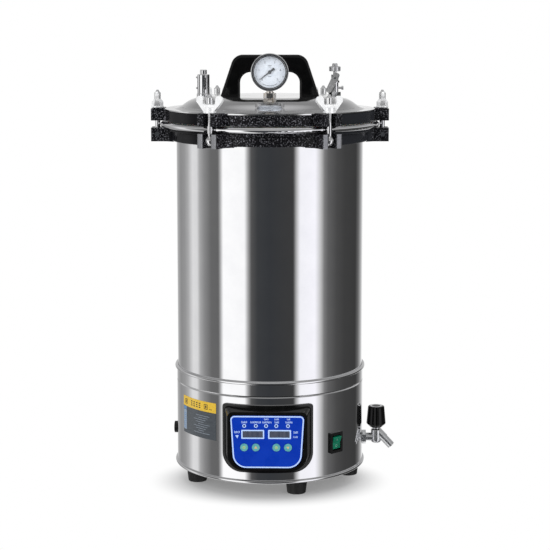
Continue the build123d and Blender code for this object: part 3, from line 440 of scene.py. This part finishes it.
LOOKS = {
    "vessel": vessel_steel(),
    "base": mirror_steel("base_steel"),
    "lid": lid_steel(),
    "inner": satin_steel(),
    "iron": hammertone(),
    "chrome": plated("chrome_plating", (0.86, 0.86, 0.87), 0.05, 0.14, 0.00001),
    "bolt": threaded(),
    "wing": cast_zinc(),
    "handle": black_plastic("bakelite", 0.0018, 0.05, 0.12, 0.07),
    "bezel": black_plastic("panel_plastic", 0.0028, 0.08, 0.18, 0.25, 0.00003),
    "knob": black_plastic("knob_plastic", 0.0012, 0.08, 0.16, 0.04),
    "fitting": black_plastic("fitting_plastic", 0.006, 0.25, 0.4, 0.1, 0.00005),
    "rubber": rubber(),
    "silicone": silicone(),
    "film": film("blue_film", (0.0, 0.027, 0.335), (0.0, 0.033, 0.375)),
    "window": smoked_window(),
    "key": key_cap(),
    "lamp": lamp(),
    "rocker": green_rocker(),
    "label": label_print(),
    "dial": dial_card(),
    "needle": printed("needle_paint", (0.002, 0.002, 0.003), 0.5, 0.65),
    "glass": glass(),
    "brass": brass_plated(),
    "circuit": circuit(),
    "tap": plated("tap_nickel", (0.80, 0.81, 0.82), 0.26, 0.36),
    "lever": plated("lever_plating", (0.88, 0.88, 0.88), 0.3, 0.42),
    "spring": plated("spring_steel", (0.7, 0.7, 0.7), 0.15, 0.3),
    "ink_pale": printed("ink_pale", (0.44, 0.60, 0.92)),
    "ink_black": printed("ink_black", (0.015, 0.015, 0.018)),
    "ink_grey": printed("ink_grey", (0.16, 0.17, 0.19)),
    "ink_faint": printed("ink_faint", (0.22, 0.25, 0.29)),
    "ink_foil": printed("ink_foil", (0.24, 0.30, 0.38)),
    "ink_blue": printed("ink_blue", (0.10, 0.22, 0.42)),
    "ink_leaf": printed("ink_leaf", (0.36, 0.50, 0.20)),
    "ink_amber": printed("ink_amber", (0.62, 0.42, 0.20)),
    "ink_white": printed("ink_white", (0.20, 0.36, 0.30)),
    "bezel_rubber": black_plastic("bezel_seal", 0.01, 0.25, 0.4, 0.2),
}

FINISH = {
    "chamber": "vessel", "base_shell": "base", "lid_shell": "lid", "collar_ring": "iron", "lid_ring": "iron",
    "clamp_pins": "chrome", "lid_handle": "handle", "handle_screws": "chrome", "lid_gasket": "silicone",
    "rubber_feet": "rubber", "foot_screws": "chrome", "base_plate": "inner", "support_ring": "inner",
    "power_board": "circuit", "control_board": "circuit", "heater_element": "inner",
    "temperature_sensors": "inner", "drain_pipe": "brass", "tap_body": "tap", "tap_knob": "knob",
    "panel_bezel": "bezel", "panel_overlay": "film", "display_windows": "window", "indicator_leds": "lamp",
    "rocker_housing": "fitting", "rocker_paddle": "rocker", "fuse_holder": "fitting", "fuse_cap": "fitting",
    "cord_gland": "fitting", "rating_plate": "label", "sieve_plate": "inner", "basket_lower": "inner",
    "basket_upper": "inner", "gauge_case": "chrome", "gauge_dial": "dial", "gauge_lens": "glass",
    "gauge_needle": "needle", "gauge_stem": "brass", "safety_valve_body": "chrome",
    "safety_valve_stem": "chrome", "safety_valve_spring": "spring", "vent_valve_body": "chrome",
    "vent_valve_lever": "lever", "vent_valve_stem": "chrome",
}
for number in range(1, 5):
    FINISH[f"panel_key_{number}"] = "key"
for number in range(1, 7):
    FINISH[f"swing_bolt_{number}"] = "bolt"
    FINISH[f"wing_nut_{number}"] = "wing"

for node, finish in FINISH.items():
    mesh = NODES[node].data
    mesh.materials.clear()
    mesh.materials.append(LOOKS[finish].material)
    for face in mesh.polygons:
        face.material_index = 0


# ---------------------------------------------------------------- added detail

def piece(name, bm, finish, body, smooth=True):
    """A new mesh with a finish, riding on a body."""
    mesh = bpy.data.meshes.new(name)
    bmesh.ops.recalc_face_normals(bm, faces=bm.faces)
    bm.to_mesh(mesh)
    bm.free()
    made = bpy.data.objects.new(name, mesh)
    bpy.context.scene.collection.objects.link(made)
    for face in mesh.polygons:
        face.use_smooth = smooth
    mesh.materials.append(LOOKS[finish].material)
    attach(made, body)
    return made


def middle(node):
    low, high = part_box(node)
    return (low + high) / 2


class Board:
    """A flat place to draw on: across and up in metres from its origin, lifted along its normal."""

    def __init__(self, origin, across, up):
        self.origin = origin
        self.across = across.normalized()
        self.up = up.normalized()
        self.normal = self.across.cross(self.up)

    def at(self, x, z, lift):
        return self.origin + self.across * x + self.up * z + self.normal * lift


def slab(bm, board, points, low, high):
    """A flat plate with the given outline, between two lifts above the board."""
    bottom = [bm.verts.new(board.at(x, z, low)) for x, z in points]
    top = [bm.verts.new(board.at(x, z, high)) for x, z in points]
    bm.faces.new(top)
    bm.faces.new(list(reversed(bottom)))
    for i in range(len(points)):
        j = (i + 1) % len(points)
        bm.faces.new((bottom[i], bottom[j], top[j], top[i]))


def band(bm, board, outer, inner, low, high):
    """A flat closed strip between two outlines with the same number of points."""
    rows = [[bm.verts.new(board.at(x, z, lift)) for x, z in points]
            for points, lift in ((outer, low), (outer, high), (inner, high), (inner, low))]
    count = len(outer)
    for a, b in zip(rows, rows[1:] + rows[:1]):
        for i in range(count):
            j = (i + 1) % count
            bm.faces.new((a[i], a[j], b[j], b[i]))


def rounded(corners, steps=8):
    """Points of a closed outline; each corner is (x, z, radius)."""
    points = []
    count = len(corners)
    for i, (x, z, radius) in enumerate(corners):
        here = Vector((x, z))
        before = (Vector(corners[i - 1][:2]) - here).normalized()
        after = (Vector(corners[(i + 1) % count][:2]) - here).normalized()
        if radius <= 0:
            points.append((x, z))
            continue
        half = math.acos(max(-1, min(1, before.dot(after)))) / 2
        reach = radius / math.tan(half)
        centre = here + (before + after).normalized() * radius / math.sin(half)
        start = here + before * reach - centre
        end = here + after * reach - centre
        first = math.atan2(start.y, start.x)
        turn = math.atan2(start.x * end.y - start.y * end.x, start.dot(end))
        for k in range(steps + 1):
            angle = first + turn * k / steps
            points.append((centre.x + radius * math.cos(angle), centre.y + radius * math.sin(angle)))
    return points


def rectangle(width, height, x=0.0, z=0.0, radius=0.0):
    w, h = width / 2, height / 2
    corners = [(x - w, z + h, radius), (x - w, z - h, radius), (x + w, z - h, radius), (x + w, z + h, radius)]
    return rounded(corners, 4)


def circle(radius, x=0.0, z=0.0, steps=40):
    return [(x + radius * math.cos(2 * math.pi * k / steps), z + radius * math.sin(2 * math.pi * k / steps))
            for k in range(steps)]


# Gauge: printed scale, numbers and the seal under the lens
gauge = middle("gauge_dial")
gauge_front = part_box("gauge_dial")[0].y
DIAL = Board(Vector((gauge.x, gauge_front, gauge.z)), Vector((1, 0, 0)), UP)
DIAL_START, DIAL_SWEEP, DIAL_STEPS = 225.0, 270.0, 50
NUMBER_SIZE, NUMBER_RADIUS = 4.4 * MM, 15.6 * MM
INK = (0.02 * MM, 0.10 * MM)

ticks = bmesh.new()
for step in range(DIAL_STEPS + 1):
    angle = math.radians(DIAL_START - DIAL_SWEEP * step / DIAL_STEPS)
    major = step % 5 == 0
    inner, outer, half = (18.8 if major else 20.0) * MM, 21.4 * MM, (0.30 if major else 0.13) * MM
    along = Vector((math.cos(angle), math.sin(angle)))
    side = Vector((-along.y, along.x)) * half
    corners = [along * inner + side, along * inner - side, along * outer - side, along * outer + side]
    slab(ticks, DIAL, [tuple(c) for c in corners], *INK)
piece("gauge_scale", ticks, "ink_grey", "lid", smooth=False)


def number_mesh(bm, board, words, size, x, z):
    """Numbers set on a board as raised ink."""
    curve = bpy.data.curves.new("number", "FONT")
    curve.body = words
    curve.size = size
    curve.align_x = "CENTER"
    curve.align_y = "CENTER"
    curve.offset = size * 0.012
    curve.extrude = 0.04 * MM
    curve.resolution_u = 3
    shown = bpy.data.objects.new("number", curve)
    bpy.context.scene.collection.objects.link(shown)
    bpy.context.view_layer.update()
    mesh = bpy.data.meshes.new_from_object(shown)
    place = Matrix.Identity(4)
    for row, axis in enumerate((board.across, board.up, board.normal)):
        for k in range(3):
            place[k][row] = axis[k]
    place.translation = board.at(x, z, 0.06 * MM)
    mesh.transform(place)
    bm.from_mesh(mesh)
    bpy.data.objects.remove(shown)
    bpy.data.curves.remove(curve)
    bpy.data.meshes.remove(mesh)


numbers = bmesh.new()
for index in range(6):
    angle = math.radians(DIAL_START - DIAL_SWEEP * index / 5)
    x, z = NUMBER_RADIUS * math.cos(angle), NUMBER_RADIUS * math.sin(angle)
    number_mesh(numbers, DIAL, str(index), NUMBER_SIZE, x, z)
piece("gauge_numbers", numbers, "ink_grey", "lid", smooth=False)

small_print = bmesh.new()
for k in range(13):
    turn = math.radians(240 + 5 * k)
    along = Vector((math.cos(turn), math.sin(turn)))
    side = Vector((-along.y, along.x)) * (0.45 + 0.12 * (k % 3)) * MM
    inner, outer = along * 19.4 * MM, along * (20.3 + 0.2 * (k % 2)) * MM
    corners = [inner + side, inner - side, outer - side, outer + side]
    slab(small_print, DIAL, [tuple(c) for c in corners], *INK)
for width, height, level in ((5.0, 1.2, 9.2), (3.4, 0.8, 7.2), (4.4, 0.9, -6.4)):
    for k in range(3):
        place = (k - 1) * width * 0.36 * MM
        slab(small_print, DIAL, rectangle(width * 0.27 * MM, height * MM, place, level * MM), *INK)
piece("gauge_small_print", small_print, "ink_grey", "lid", smooth=False)

lens_low, lens_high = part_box("gauge_lens")
lens_radius = (lens_high.x - lens_low.x) / 2
LENS = Board(Vector((gauge.x, lens_low.y, gauge.z)), Vector((1, 0, 0)), UP)
seal = bmesh.new()
seal_outer = circle(lens_radius - 0.1 * MM, steps=96)
seal_inner = circle(lens_radius - 1.5 * MM, steps=96)
band(seal, LENS, seal_outer, seal_inner, 0.02 * MM, 0.25 * MM)
piece("gauge_seal_ring", seal, "bezel_rubber", "lid")

# Control panel: border, lamp rings, window frames, key marks and blank captions
key_first, key_last = middle("panel_key_1"), middle("panel_key_4")
across = Vector((key_last.x - key_first.x, key_last.y - key_first.y, 0)).normalized()
KEY_LEFT = 33.8 * MM
panel_middle = key_first + across * KEY_LEFT
front = across.cross(UP)
FILM_FACE = 0.159
PANEL = Board(across * panel_middle.dot(across) + front * FILM_FACE, across, UP)
LINE = (0.02 * MM, 0.14 * MM)

BORDER = [(-54.0, 126.7, 6), (-49.3, 49.1, 20), (49.3, 49.1, 20), (54.0, 126.7, 6)]


def inset(corners, amount):
    """The panel outline moved inwards by an amount, in metres."""
    (a, top, small), (b, low, large), (c, _, _), (d, _, _) = corners
    return [(x * MM, z * MM, r * MM) for x, z, r in (
        (a + amount, top - amount, small - amount), (b + amount, low + amount, large - amount),
        (c - amount, low + amount, large - amount), (d - amount, top - amount, small - amount))]


border = bmesh.new()
band(border, PANEL, rounded(inset(BORDER, 0.0)), rounded(inset(BORDER, 1.9)), *LINE)
piece("panel_border", border, "ink_pale", "root", smooth=False)

LAMPS = (-33.5, -16.5, -1.6, 13.3, 30.3)
WINDOWS = (-21.1, 18.1)
KEYS = (-33.8, -16.7, 13.3, 30.3)
lamp_low, lamp_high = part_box("indicator_leds")
lamp_z = (lamp_low.z + lamp_high.z) / 2
window_z = middle("display_windows").z
key_z = key_first.z

rings = bmesh.new()
for x in LAMPS:
    band(rings, PANEL, circle(2.75 * MM, x * MM, lamp_z, 28), circle(1.62 * MM, x * MM, lamp_z, 28), *LINE)
piece("lamp_rings", rings, "ink_pale", "root", smooth=False)

frames = bmesh.new()
for x in WINDOWS:
    band(frames, PANEL, rectangle(33.4 * MM, 13.4 * MM, x * MM, window_z, 1 * MM),
         rectangle(29.6 * MM, 9.7 * MM, x * MM, window_z, 0.6 * MM), 0.12 * MM, 0.3 * MM)
piece("window_frames", frames, "ink_pale", "root", smooth=False)


def caption(bm, board, x, z, width, height):
    """A caption with no letters: a row of short upright strokes."""
    pitch = 1.75 * MM
    count = max(2, round(width / pitch))
    for k in range(count):
        wide = (0.62 + 0.2 * ((k * 7) % 3)) * MM
        tall = height * (1.0 - 0.16 * ((k * 5) % 3))
        place = x + (k - (count - 1) / 2) * pitch
        slab(bm, board, rectangle(wide, tall, place, z, 0.12 * MM), *LINE)
        end = z + (height / 2 - 0.3 * MM) * (1 - 2 * (k % 2))
        slab(bm, board, rectangle(pitch * 0.72, 0.5 * MM, place, end), *LINE)


CAPTIONS = (
    (-33.5, 117.4, 9, 3.0), (-16.9, 117.4, 15.5, 3.0), (-0.4, 117.4, 14.5, 3.0), (14.0, 117.4, 7, 3.0),
    (31.6, 117.4, 11, 3.0), (-1.4, 122.0, 6.5, 2.6), (13.8, 122.0, 7, 2.6), (31.0, 122.0, 6, 2.6),
    (-44.2, 102.6, 8.6, 3.2), (41.6, 102.6, 7, 3.4), (41.4, 95.6, 6.4, 2.8),
)
captions = bmesh.new()
for x, z, width, height in CAPTIONS:
    caption(captions, PANEL, x * MM, z * MM, width * MM, height * MM)
slab(captions, PANEL, [(-46.5 * MM, 98 * MM), (-43.6 * MM, 93.2 * MM), (-41.6 * MM, 98 * MM)], *LINE)
piece("panel_captions", captions, "ink_pale", "root", smooth=False)

KEY = Board(PANEL.origin + front * 0.9 * MM, across, UP)
KEY_INK = (0.01 * MM, 0.12 * MM)
ARROW = 2.4 * MM
for number, place in enumerate(KEYS, 1):
    x = place * MM
    mark = bmesh.new()
    if number % 2:
        band(mark, KEY, circle(2.3 * MM, x, key_z, 24), circle(1.3 * MM, x, key_z, 24), *KEY_INK)
        slab(mark, KEY, rectangle(0.9 * MM, 2.2 * MM, x, key_z), *KEY_INK)
        ink = "ink_leaf"
    else:
        tip = ARROW if number == 2 else -ARROW
        foot = key_z - tip * 0.6
        slab(mark, KEY, [(x, key_z + tip), (x - ARROW, foot), (x + ARROW, foot)], *KEY_INK)
        ink = "ink_amber"
    piece(f"key_mark_{number}", mark, ink, f"panel_key_{number}", smooth=False)

# Switch: a bar on the rocker's raised half and a ring on its lower half
ROCKER_TURN = math.radians(43.0)
rocker_out = Vector((math.sin(ROCKER_TURN), -math.cos(ROCKER_TURN), 0))
rocker_across = Vector((math.cos(ROCKER_TURN), math.sin(ROCKER_TURN), 0))


def rocker_board(height, lean, depth):
    """A board on one half of the rocker, leaning back from upright by an angle in degrees."""
    up = (UP * math.cos(math.radians(lean)) - rocker_out * math.sin(math.radians(lean))).normalized()
    return Board(rocker_out * depth + UP * height, rocker_across, up)


rocker_marks = bmesh.new()
LOWER = rocker_board(0.0686, -0.6, 0.1455)
UPPER = rocker_board(0.0777, -23.3, 0.1474)
band(rocker_marks, LOWER, circle(1.8 * MM, steps=28), circle(1.35 * MM, steps=28), 0.0, 0.12 * MM)
slab(rocker_marks, UPPER, rectangle(0.8 * MM, 3.6 * MM), 0.0, 0.12 * MM)
piece("rocker_marks", rocker_marks, "ink_white", "rocker_paddle", smooth=False)

# Rating plate: plain blocks, frames and rules in place of print, bent round the base
plate_low, plate_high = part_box("rating_plate")
PLATE_RADIUS = 0.14393
PLATE_START = -65.0


def bent_strip(bm, start, end, low, high, lift=0.08 * MM):
    """A thin raised strip round the base between two azimuths in degrees and two heights in metres."""
    steps = max(1, round(abs(end - start) / 1.5))
    raised = PLATE_RADIUS + lift
    section = ((PLATE_RADIUS, low), (raised, low), (raised, high), (PLATE_RADIUS, high))
    rows = []
    for k in range(steps + 1):
        turn = math.radians(start + (end - start) * k / steps)
        out = Vector((math.sin(turn), -math.cos(turn), 0))
        rows.append([bm.verts.new(out * radius + UP * height) for radius, height in section])
    for a, b in zip(rows, rows[1:]):
        for i in range(4):
            j = (i + 1) % 4
            bm.faces.new((a[i], a[j], b[j], b[i]))
    bm.faces.new(rows[0])
    bm.faces.new(list(reversed(rows[-1])))


def bent_frame(bm, centre, height, wide, tall, line):
    """A bent outline: two uprights and two rules round a centre azimuth and height."""
    edge = math.degrees(line / PLATE_RADIUS)
    half = math.degrees(wide / 2 / PLATE_RADIUS)
    for side in (-1, 1):
        upright = centre + side * half
        bent_strip(bm, upright - edge / 2, upright + edge / 2, height - tall / 2, height + tall / 2)
        level = height + side * (tall - line) / 2
        bent_strip(bm, centre - half, centre + half, level - line / 2, level + line / 2, 0.07 * MM)


plate_strip = plate_strip_height()
strip_middle = (plate_strip + plate_high.z) / 2
warning_blocks = bmesh.new()
for centre in (-61.0, -41.5):
    bent_frame(warning_blocks, centre, strip_middle, 6.4 * MM, 7.6 * MM, 0.9 * MM)
    bent_strip(warning_blocks, centre - 0.5, centre + 0.5, strip_middle - 1.8 * MM, strip_middle + 1.8 * MM)
for column in range(4):
    for row in range(3):
        place = -54.6 + column * 2.6
        level = strip_middle + (row - 1) * 3.1 * MM
        end = place + 0.7 - 0.25 * (row % 2)
        bent_strip(warning_blocks, place - 0.7, end, level - 0.8 * MM, level + 0.8 * MM)
bent_strip(warning_blocks, -38.6, -36.6, strip_middle - 3.4 * MM, strip_middle - 2.6 * MM)
piece("plate_blocks", warning_blocks, "ink_black", "root", smooth=False)

plate_rules = bmesh.new()
for row in range(9):
    level = plate_low.z + (7.0 + row * 3.3) * MM
    start = -52.5 + 2.2 * ((row * 5) % 3)
    bent_strip(plate_rules, start, -38.5 - 1.6 * ((row * 7) % 4), level, level + 0.7 * MM)
piece("plate_rules", plate_rules, "ink_faint", "root", smooth=False)

edge_start, edge_end = PLATE_START + 0.3, PLATE_START + 4.2
plate_edge = bmesh.new()
bent_strip(plate_edge, edge_start, edge_end, plate_low.z + 5 * MM, plate_strip - 6 * MM, 0.05 * MM)
piece("plate_pale_edge", plate_edge, "ink_foil", "root", smooth=False)
plate_spot = bmesh.new()
bent_strip(plate_spot, edge_start, edge_end, plate_strip - 5.6 * MM, plate_strip - 0.6 * MM, 0.05 * MM)
for row in range(8):
    level = plate_low.z + (7 + 3.2 * row) * MM
    bent_strip(plate_spot, PLATE_START + 1.0, PLATE_START + 3.6, level, level + 0.9 * MM, 0.09 * MM)
piece("plate_blue_marks", plate_spot, "ink_blue", "root", smooth=False)

# Tap knob: the plated ring set in its top and the cap inside it
knob_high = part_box("tap_knob")[1]
knob = middle("tap_knob")
KNOB = Board(Vector((knob.x, knob.y, knob_high.z)), Vector((1, 0, 0)), Vector((0, 1, 0)))
disc = bmesh.new()
band(disc, KNOB, circle(9.6 * MM, steps=64), circle(6.4 * MM, steps=64), -0.5 * MM, 0.35 * MM)
piece("tap_knob_disc", disc, "chrome", "tap_knob", smooth=False)
cap = bmesh.new()
slab(cap, KNOB, circle(6.2 * MM, steps=64), -0.5 * MM, 0.45 * MM)
slab(cap, KNOB, circle(5.4 * MM, steps=64), 0.4 * MM, 0.7 * MM)
piece("tap_knob_cap", cap, "knob", "tap_knob", smooth=False)

# Lid: the rolled seam round the crown
def lid_height(radius):
    """Height of the lid's top surface at a radius, 60 degrees from the front, clear of what stands on it."""
    turn = math.radians(60)
    start = Vector((radius * math.sin(turn), -radius * math.cos(turn), 1.0))
    return NODES["lid_shell"].ray_cast(start, -UP)[1].z


SEAM_RADIUS = 0.1365
seam = bmesh.new()
SEAM_STEPS, SEAM_SIDES = 180, 6
seam_z = lid_height(SEAM_RADIUS)
seam_rows = []
for k in range(SEAM_STEPS):
    turn = 2 * math.pi * k / SEAM_STEPS
    row = []
    for side in range(SEAM_SIDES):
        around = 2 * math.pi * side / SEAM_SIDES
        radius = SEAM_RADIUS + 0.55 * MM * math.cos(around)
        row.append(seam.verts.new((radius * math.sin(turn), -radius * math.cos(turn),
                                   seam_z + 0.45 * MM * math.sin(around))))
    seam_rows.append(row)
for a, b in zip(seam_rows, seam_rows[1:] + seam_rows[:1]):
    for i in range(SEAM_SIDES):
        j = (i + 1) % SEAM_SIDES
        seam.faces.new((a[i], a[j], b[j], b[i]))
piece("lid_seam", seam, "lid", "lid")

# ---------------------------------------------------------------- studio

scene = bpy.context.scene
scene.view_settings.view_transform = "Standard"


def studio_world():
    """White to the camera, soft and even for diffuse light, and upright panels for reflections."""
    world = bpy.data.worlds.new("studio")
    scene.world = world
    world.use_nodes = True
    tree = world.node_tree
    tree.nodes.clear()

    def node(kind, **settings):
        made = tree.nodes.new(kind)
        for key, value in settings.items():
            setattr(made, key, value)
        return made

    def math_node(operation, a, b=0.0):
        made = node("ShaderNodeMath", operation=operation)
        for socket, value in zip(made.inputs, (a, b)):
            if isinstance(value, bpy.types.NodeSocket):
                tree.links.new(value, socket)
            else:
                socket.default_value = value
        return made.outputs[0]

    def ramp(value, stops):
        made = node("ShaderNodeValToRGB")
        tree.links.new(value, made.inputs[0])
        elements = made.color_ramp.elements
        while len(elements) > 1:
            elements.remove(elements[-1])
        for index, (place, shade) in enumerate(stops):
            element = elements[0] if index == 0 else elements.new(place)
            element.position = place
            element.color = (*shade, 1) if isinstance(shade, tuple) else (shade, shade, shade, 1)
        return made.outputs[0]

    def blend(share, a, b):
        made = node("ShaderNodeMix", data_type="RGBA")
        for label, value in (("A", a), ("B", b)):
            socket = [s for s in made.inputs if s.name == label and s.type == "RGBA"][0]
            if isinstance(value, bpy.types.NodeSocket):
                tree.links.new(value, socket)
            else:
                socket.default_value = (*value, 1)
        tree.links.new(share, made.inputs["Factor"])
        return [s for s in made.outputs if s.type == "RGBA"][0]

    direction = node("ShaderNodeTexCoord").outputs["Generated"]
    split = node("ShaderNodeSeparateXYZ")
    tree.links.new(direction, split.inputs[0])
    x, y, z = split.outputs
    azimuth = math_node("ARCTAN2", x, math_node("MULTIPLY", y, -1.0))
    turn = math_node("MULTIPLY_ADD", azimuth, 1 / (2 * math.pi))
    turn.node.inputs[2].default_value = 0.5

    def stops(*rows):
        return [(degrees / 360 + 0.5, shade) for degrees, shade in rows]

    # Studio panels round the object: degrees from the front, brightness
    panels = ramp(turn, stops(
        (-180, 1.0), (-161, 0.47), (-144, 0.31), (-130, 0.37), (-121, 0.5), (-110, 0.89), (-101, 0.86),
        (-96, 0.48), (-88, 0.31), (-77, 0.17), (-66, 0.16), (-63, 0.5), (-59, 1.25), (-31, 1.2), (-27, 0.5),
        (-23, 0.11), (-15, (0.055, 0.058, 0.062)), (0, (0.045, 0.048, 0.053)), (29, 0.055), (33, 0.6),
        (37, (1.12, 1.12, 1.16)), (57, (1.18, 1.17, 1.23)), (65, 0.65), (70, 0.25), (76, 0.145), (90, 0.083),
        (105, 0.06), (132, 0.052), (142, 0.16), (154, 0.5), (167, 1.0)))
    lift = math_node("MULTIPLY_ADD", z, 0.5)
    lift.node.inputs[2].default_value = 0.5
    above = ramp(lift, [(0.0, 0.0), (0.515, 0.0), (0.56, 1.0), (1.0, 1.0)])
    ceiling = ramp(lift, [(0.0, 0.62), (0.56, 0.62), (0.66, 0.45), (0.74, 0.315), (0.90, 0.29), (1.0, 0.7)])
    reflected = blend(above, panels, ceiling)
    rays = node("ShaderNodeLightPath")
    soft = blend(rays.outputs["Is Glossy Ray"], (0.75, 0.76, 0.78), reflected)
    shown = blend(rays.outputs["Is Camera Ray"], soft, (1, 1, 1))
    background = node("ShaderNodeBackground")
    output = node("ShaderNodeOutputWorld")
    tree.links.new(shown, background.inputs["Color"])
    tree.links.new(background.outputs[0], output.inputs[0])


studio_world()


def lamp_panel(name, place, target, size, power):
    data = bpy.data.lights.new(name, "AREA")
    data.shape = "RECTANGLE"
    data.size, data.size_y = size
    data.energy = power
    made = bpy.data.objects.new(name, data)
    scene.collection.objects.link(made)
    made.location = place
    made.rotation_euler = (Vector(target) - Vector(place)).to_track_quat("-Z", "Y").to_euler()
    made.visible_glossy = False
    made.visible_camera = False
    return made


heart = (CAD_LOW + CAD_HIGH) / 2
lamp_panel("key_panel", (-1.3, -1.6, 1.6), heart, (1.2, 1.2), 26)
lamp_panel("fill_panel", (1.6, -1.2, 1.0), heart, (1.2, 1.6), 12)
lamp_panel("top_panel", (0, 0.2, 2.0), heart, (1.5, 1.5), 14)


# Painted shadow: the ellipse where the floor's white glow fades into dark grey diffuse
SHADOW_WIDTH, SHADOW_DEPTH, SHADOW_FORWARD = 0.137, 0.106, 0.052
SHADOW_FADE = (0.78, 1.38)
SHADOW_SHARE = 0.8
PAINTED_SHADOW_GREY = (0.37, 0.37, 0.37)


def studio_floor():
    """Pale floor: glowing white, but for a painted shadow: an ellipse round the feet where the glow gives way
    to a dark grey diffuse floor, which also takes the object's own shadow.
    """
    bm = bmesh.new()
    bmesh.ops.create_grid(bm, x_segments=8, y_segments=8, size=14)
    mesh = bpy.data.meshes.new("floor")
    bm.to_mesh(mesh)
    bm.free()
    made = bpy.data.objects.new("floor", mesh)
    scene.collection.objects.link(made)
    material = bpy.data.materials.new("floor_white")
    material.use_nodes = True
    tree = material.node_tree
    tree.nodes.clear()
    coords = tree.nodes.new("ShaderNodeTexCoord")
    place = tree.nodes.new("ShaderNodeMapping")
    place.inputs["Location"].default_value = (0, SHADOW_FORWARD / SHADOW_DEPTH, 0)
    place.inputs["Scale"].default_value = (1 / SHADOW_WIDTH, 1 / SHADOW_DEPTH, 1)
    tree.links.new(coords.outputs["Object"], place.inputs["Vector"])
    length = tree.nodes.new("ShaderNodeVectorMath")
    length.operation = "LENGTH"
    tree.links.new(place.outputs[0], length.inputs[0])
    span = tree.nodes.new("ShaderNodeMapRange")
    span.interpolation_type = "SMOOTHSTEP"
    tree.links.new(length.outputs["Value"], span.inputs[0])
    for socket, value in zip(list(span.inputs)[1:5], (*SHADOW_FADE, SHADOW_SHARE, 0.0)):
        socket.default_value = value
    glow = tree.nodes.new("ShaderNodeEmission")
    diffuse = tree.nodes.new("ShaderNodeBsdfDiffuse")
    diffuse.inputs["Color"].default_value = (*PAINTED_SHADOW_GREY, 1)
    mixed = tree.nodes.new("ShaderNodeMixShader")
    tree.links.new(span.outputs[0], mixed.inputs[0])
    tree.links.new(glow.outputs[0], mixed.inputs[1])
    tree.links.new(diffuse.outputs[0], mixed.inputs[2])
    output = tree.nodes.new("ShaderNodeOutputMaterial")
    tree.links.new(mixed.outputs[0], output.inputs[0])
    mesh.materials.append(material)
    made.visible_glossy = False


studio_floor()

CAMERA_PLACE = (0.0077, -2.4668, 0.7065)
CAMERA_TILT = math.radians(7.21)
FOCAL_LENGTH, SENSOR_WIDTH = 106.2, 36
LENS_SHIFT = -0.1
camera_data = bpy.data.cameras.new("camera")
camera_data.lens = FOCAL_LENGTH
camera_data.shift_y = LENS_SHIFT
camera_data.sensor_width = SENSOR_WIDTH
camera_data.clip_end = 60
camera = bpy.data.objects.new("camera", camera_data)
scene.collection.objects.link(camera)
camera.location = CAMERA_PLACE
camera.rotation_euler = (math.pi / 2 - CAMERA_TILT, 0, 0)
scene.camera = camera
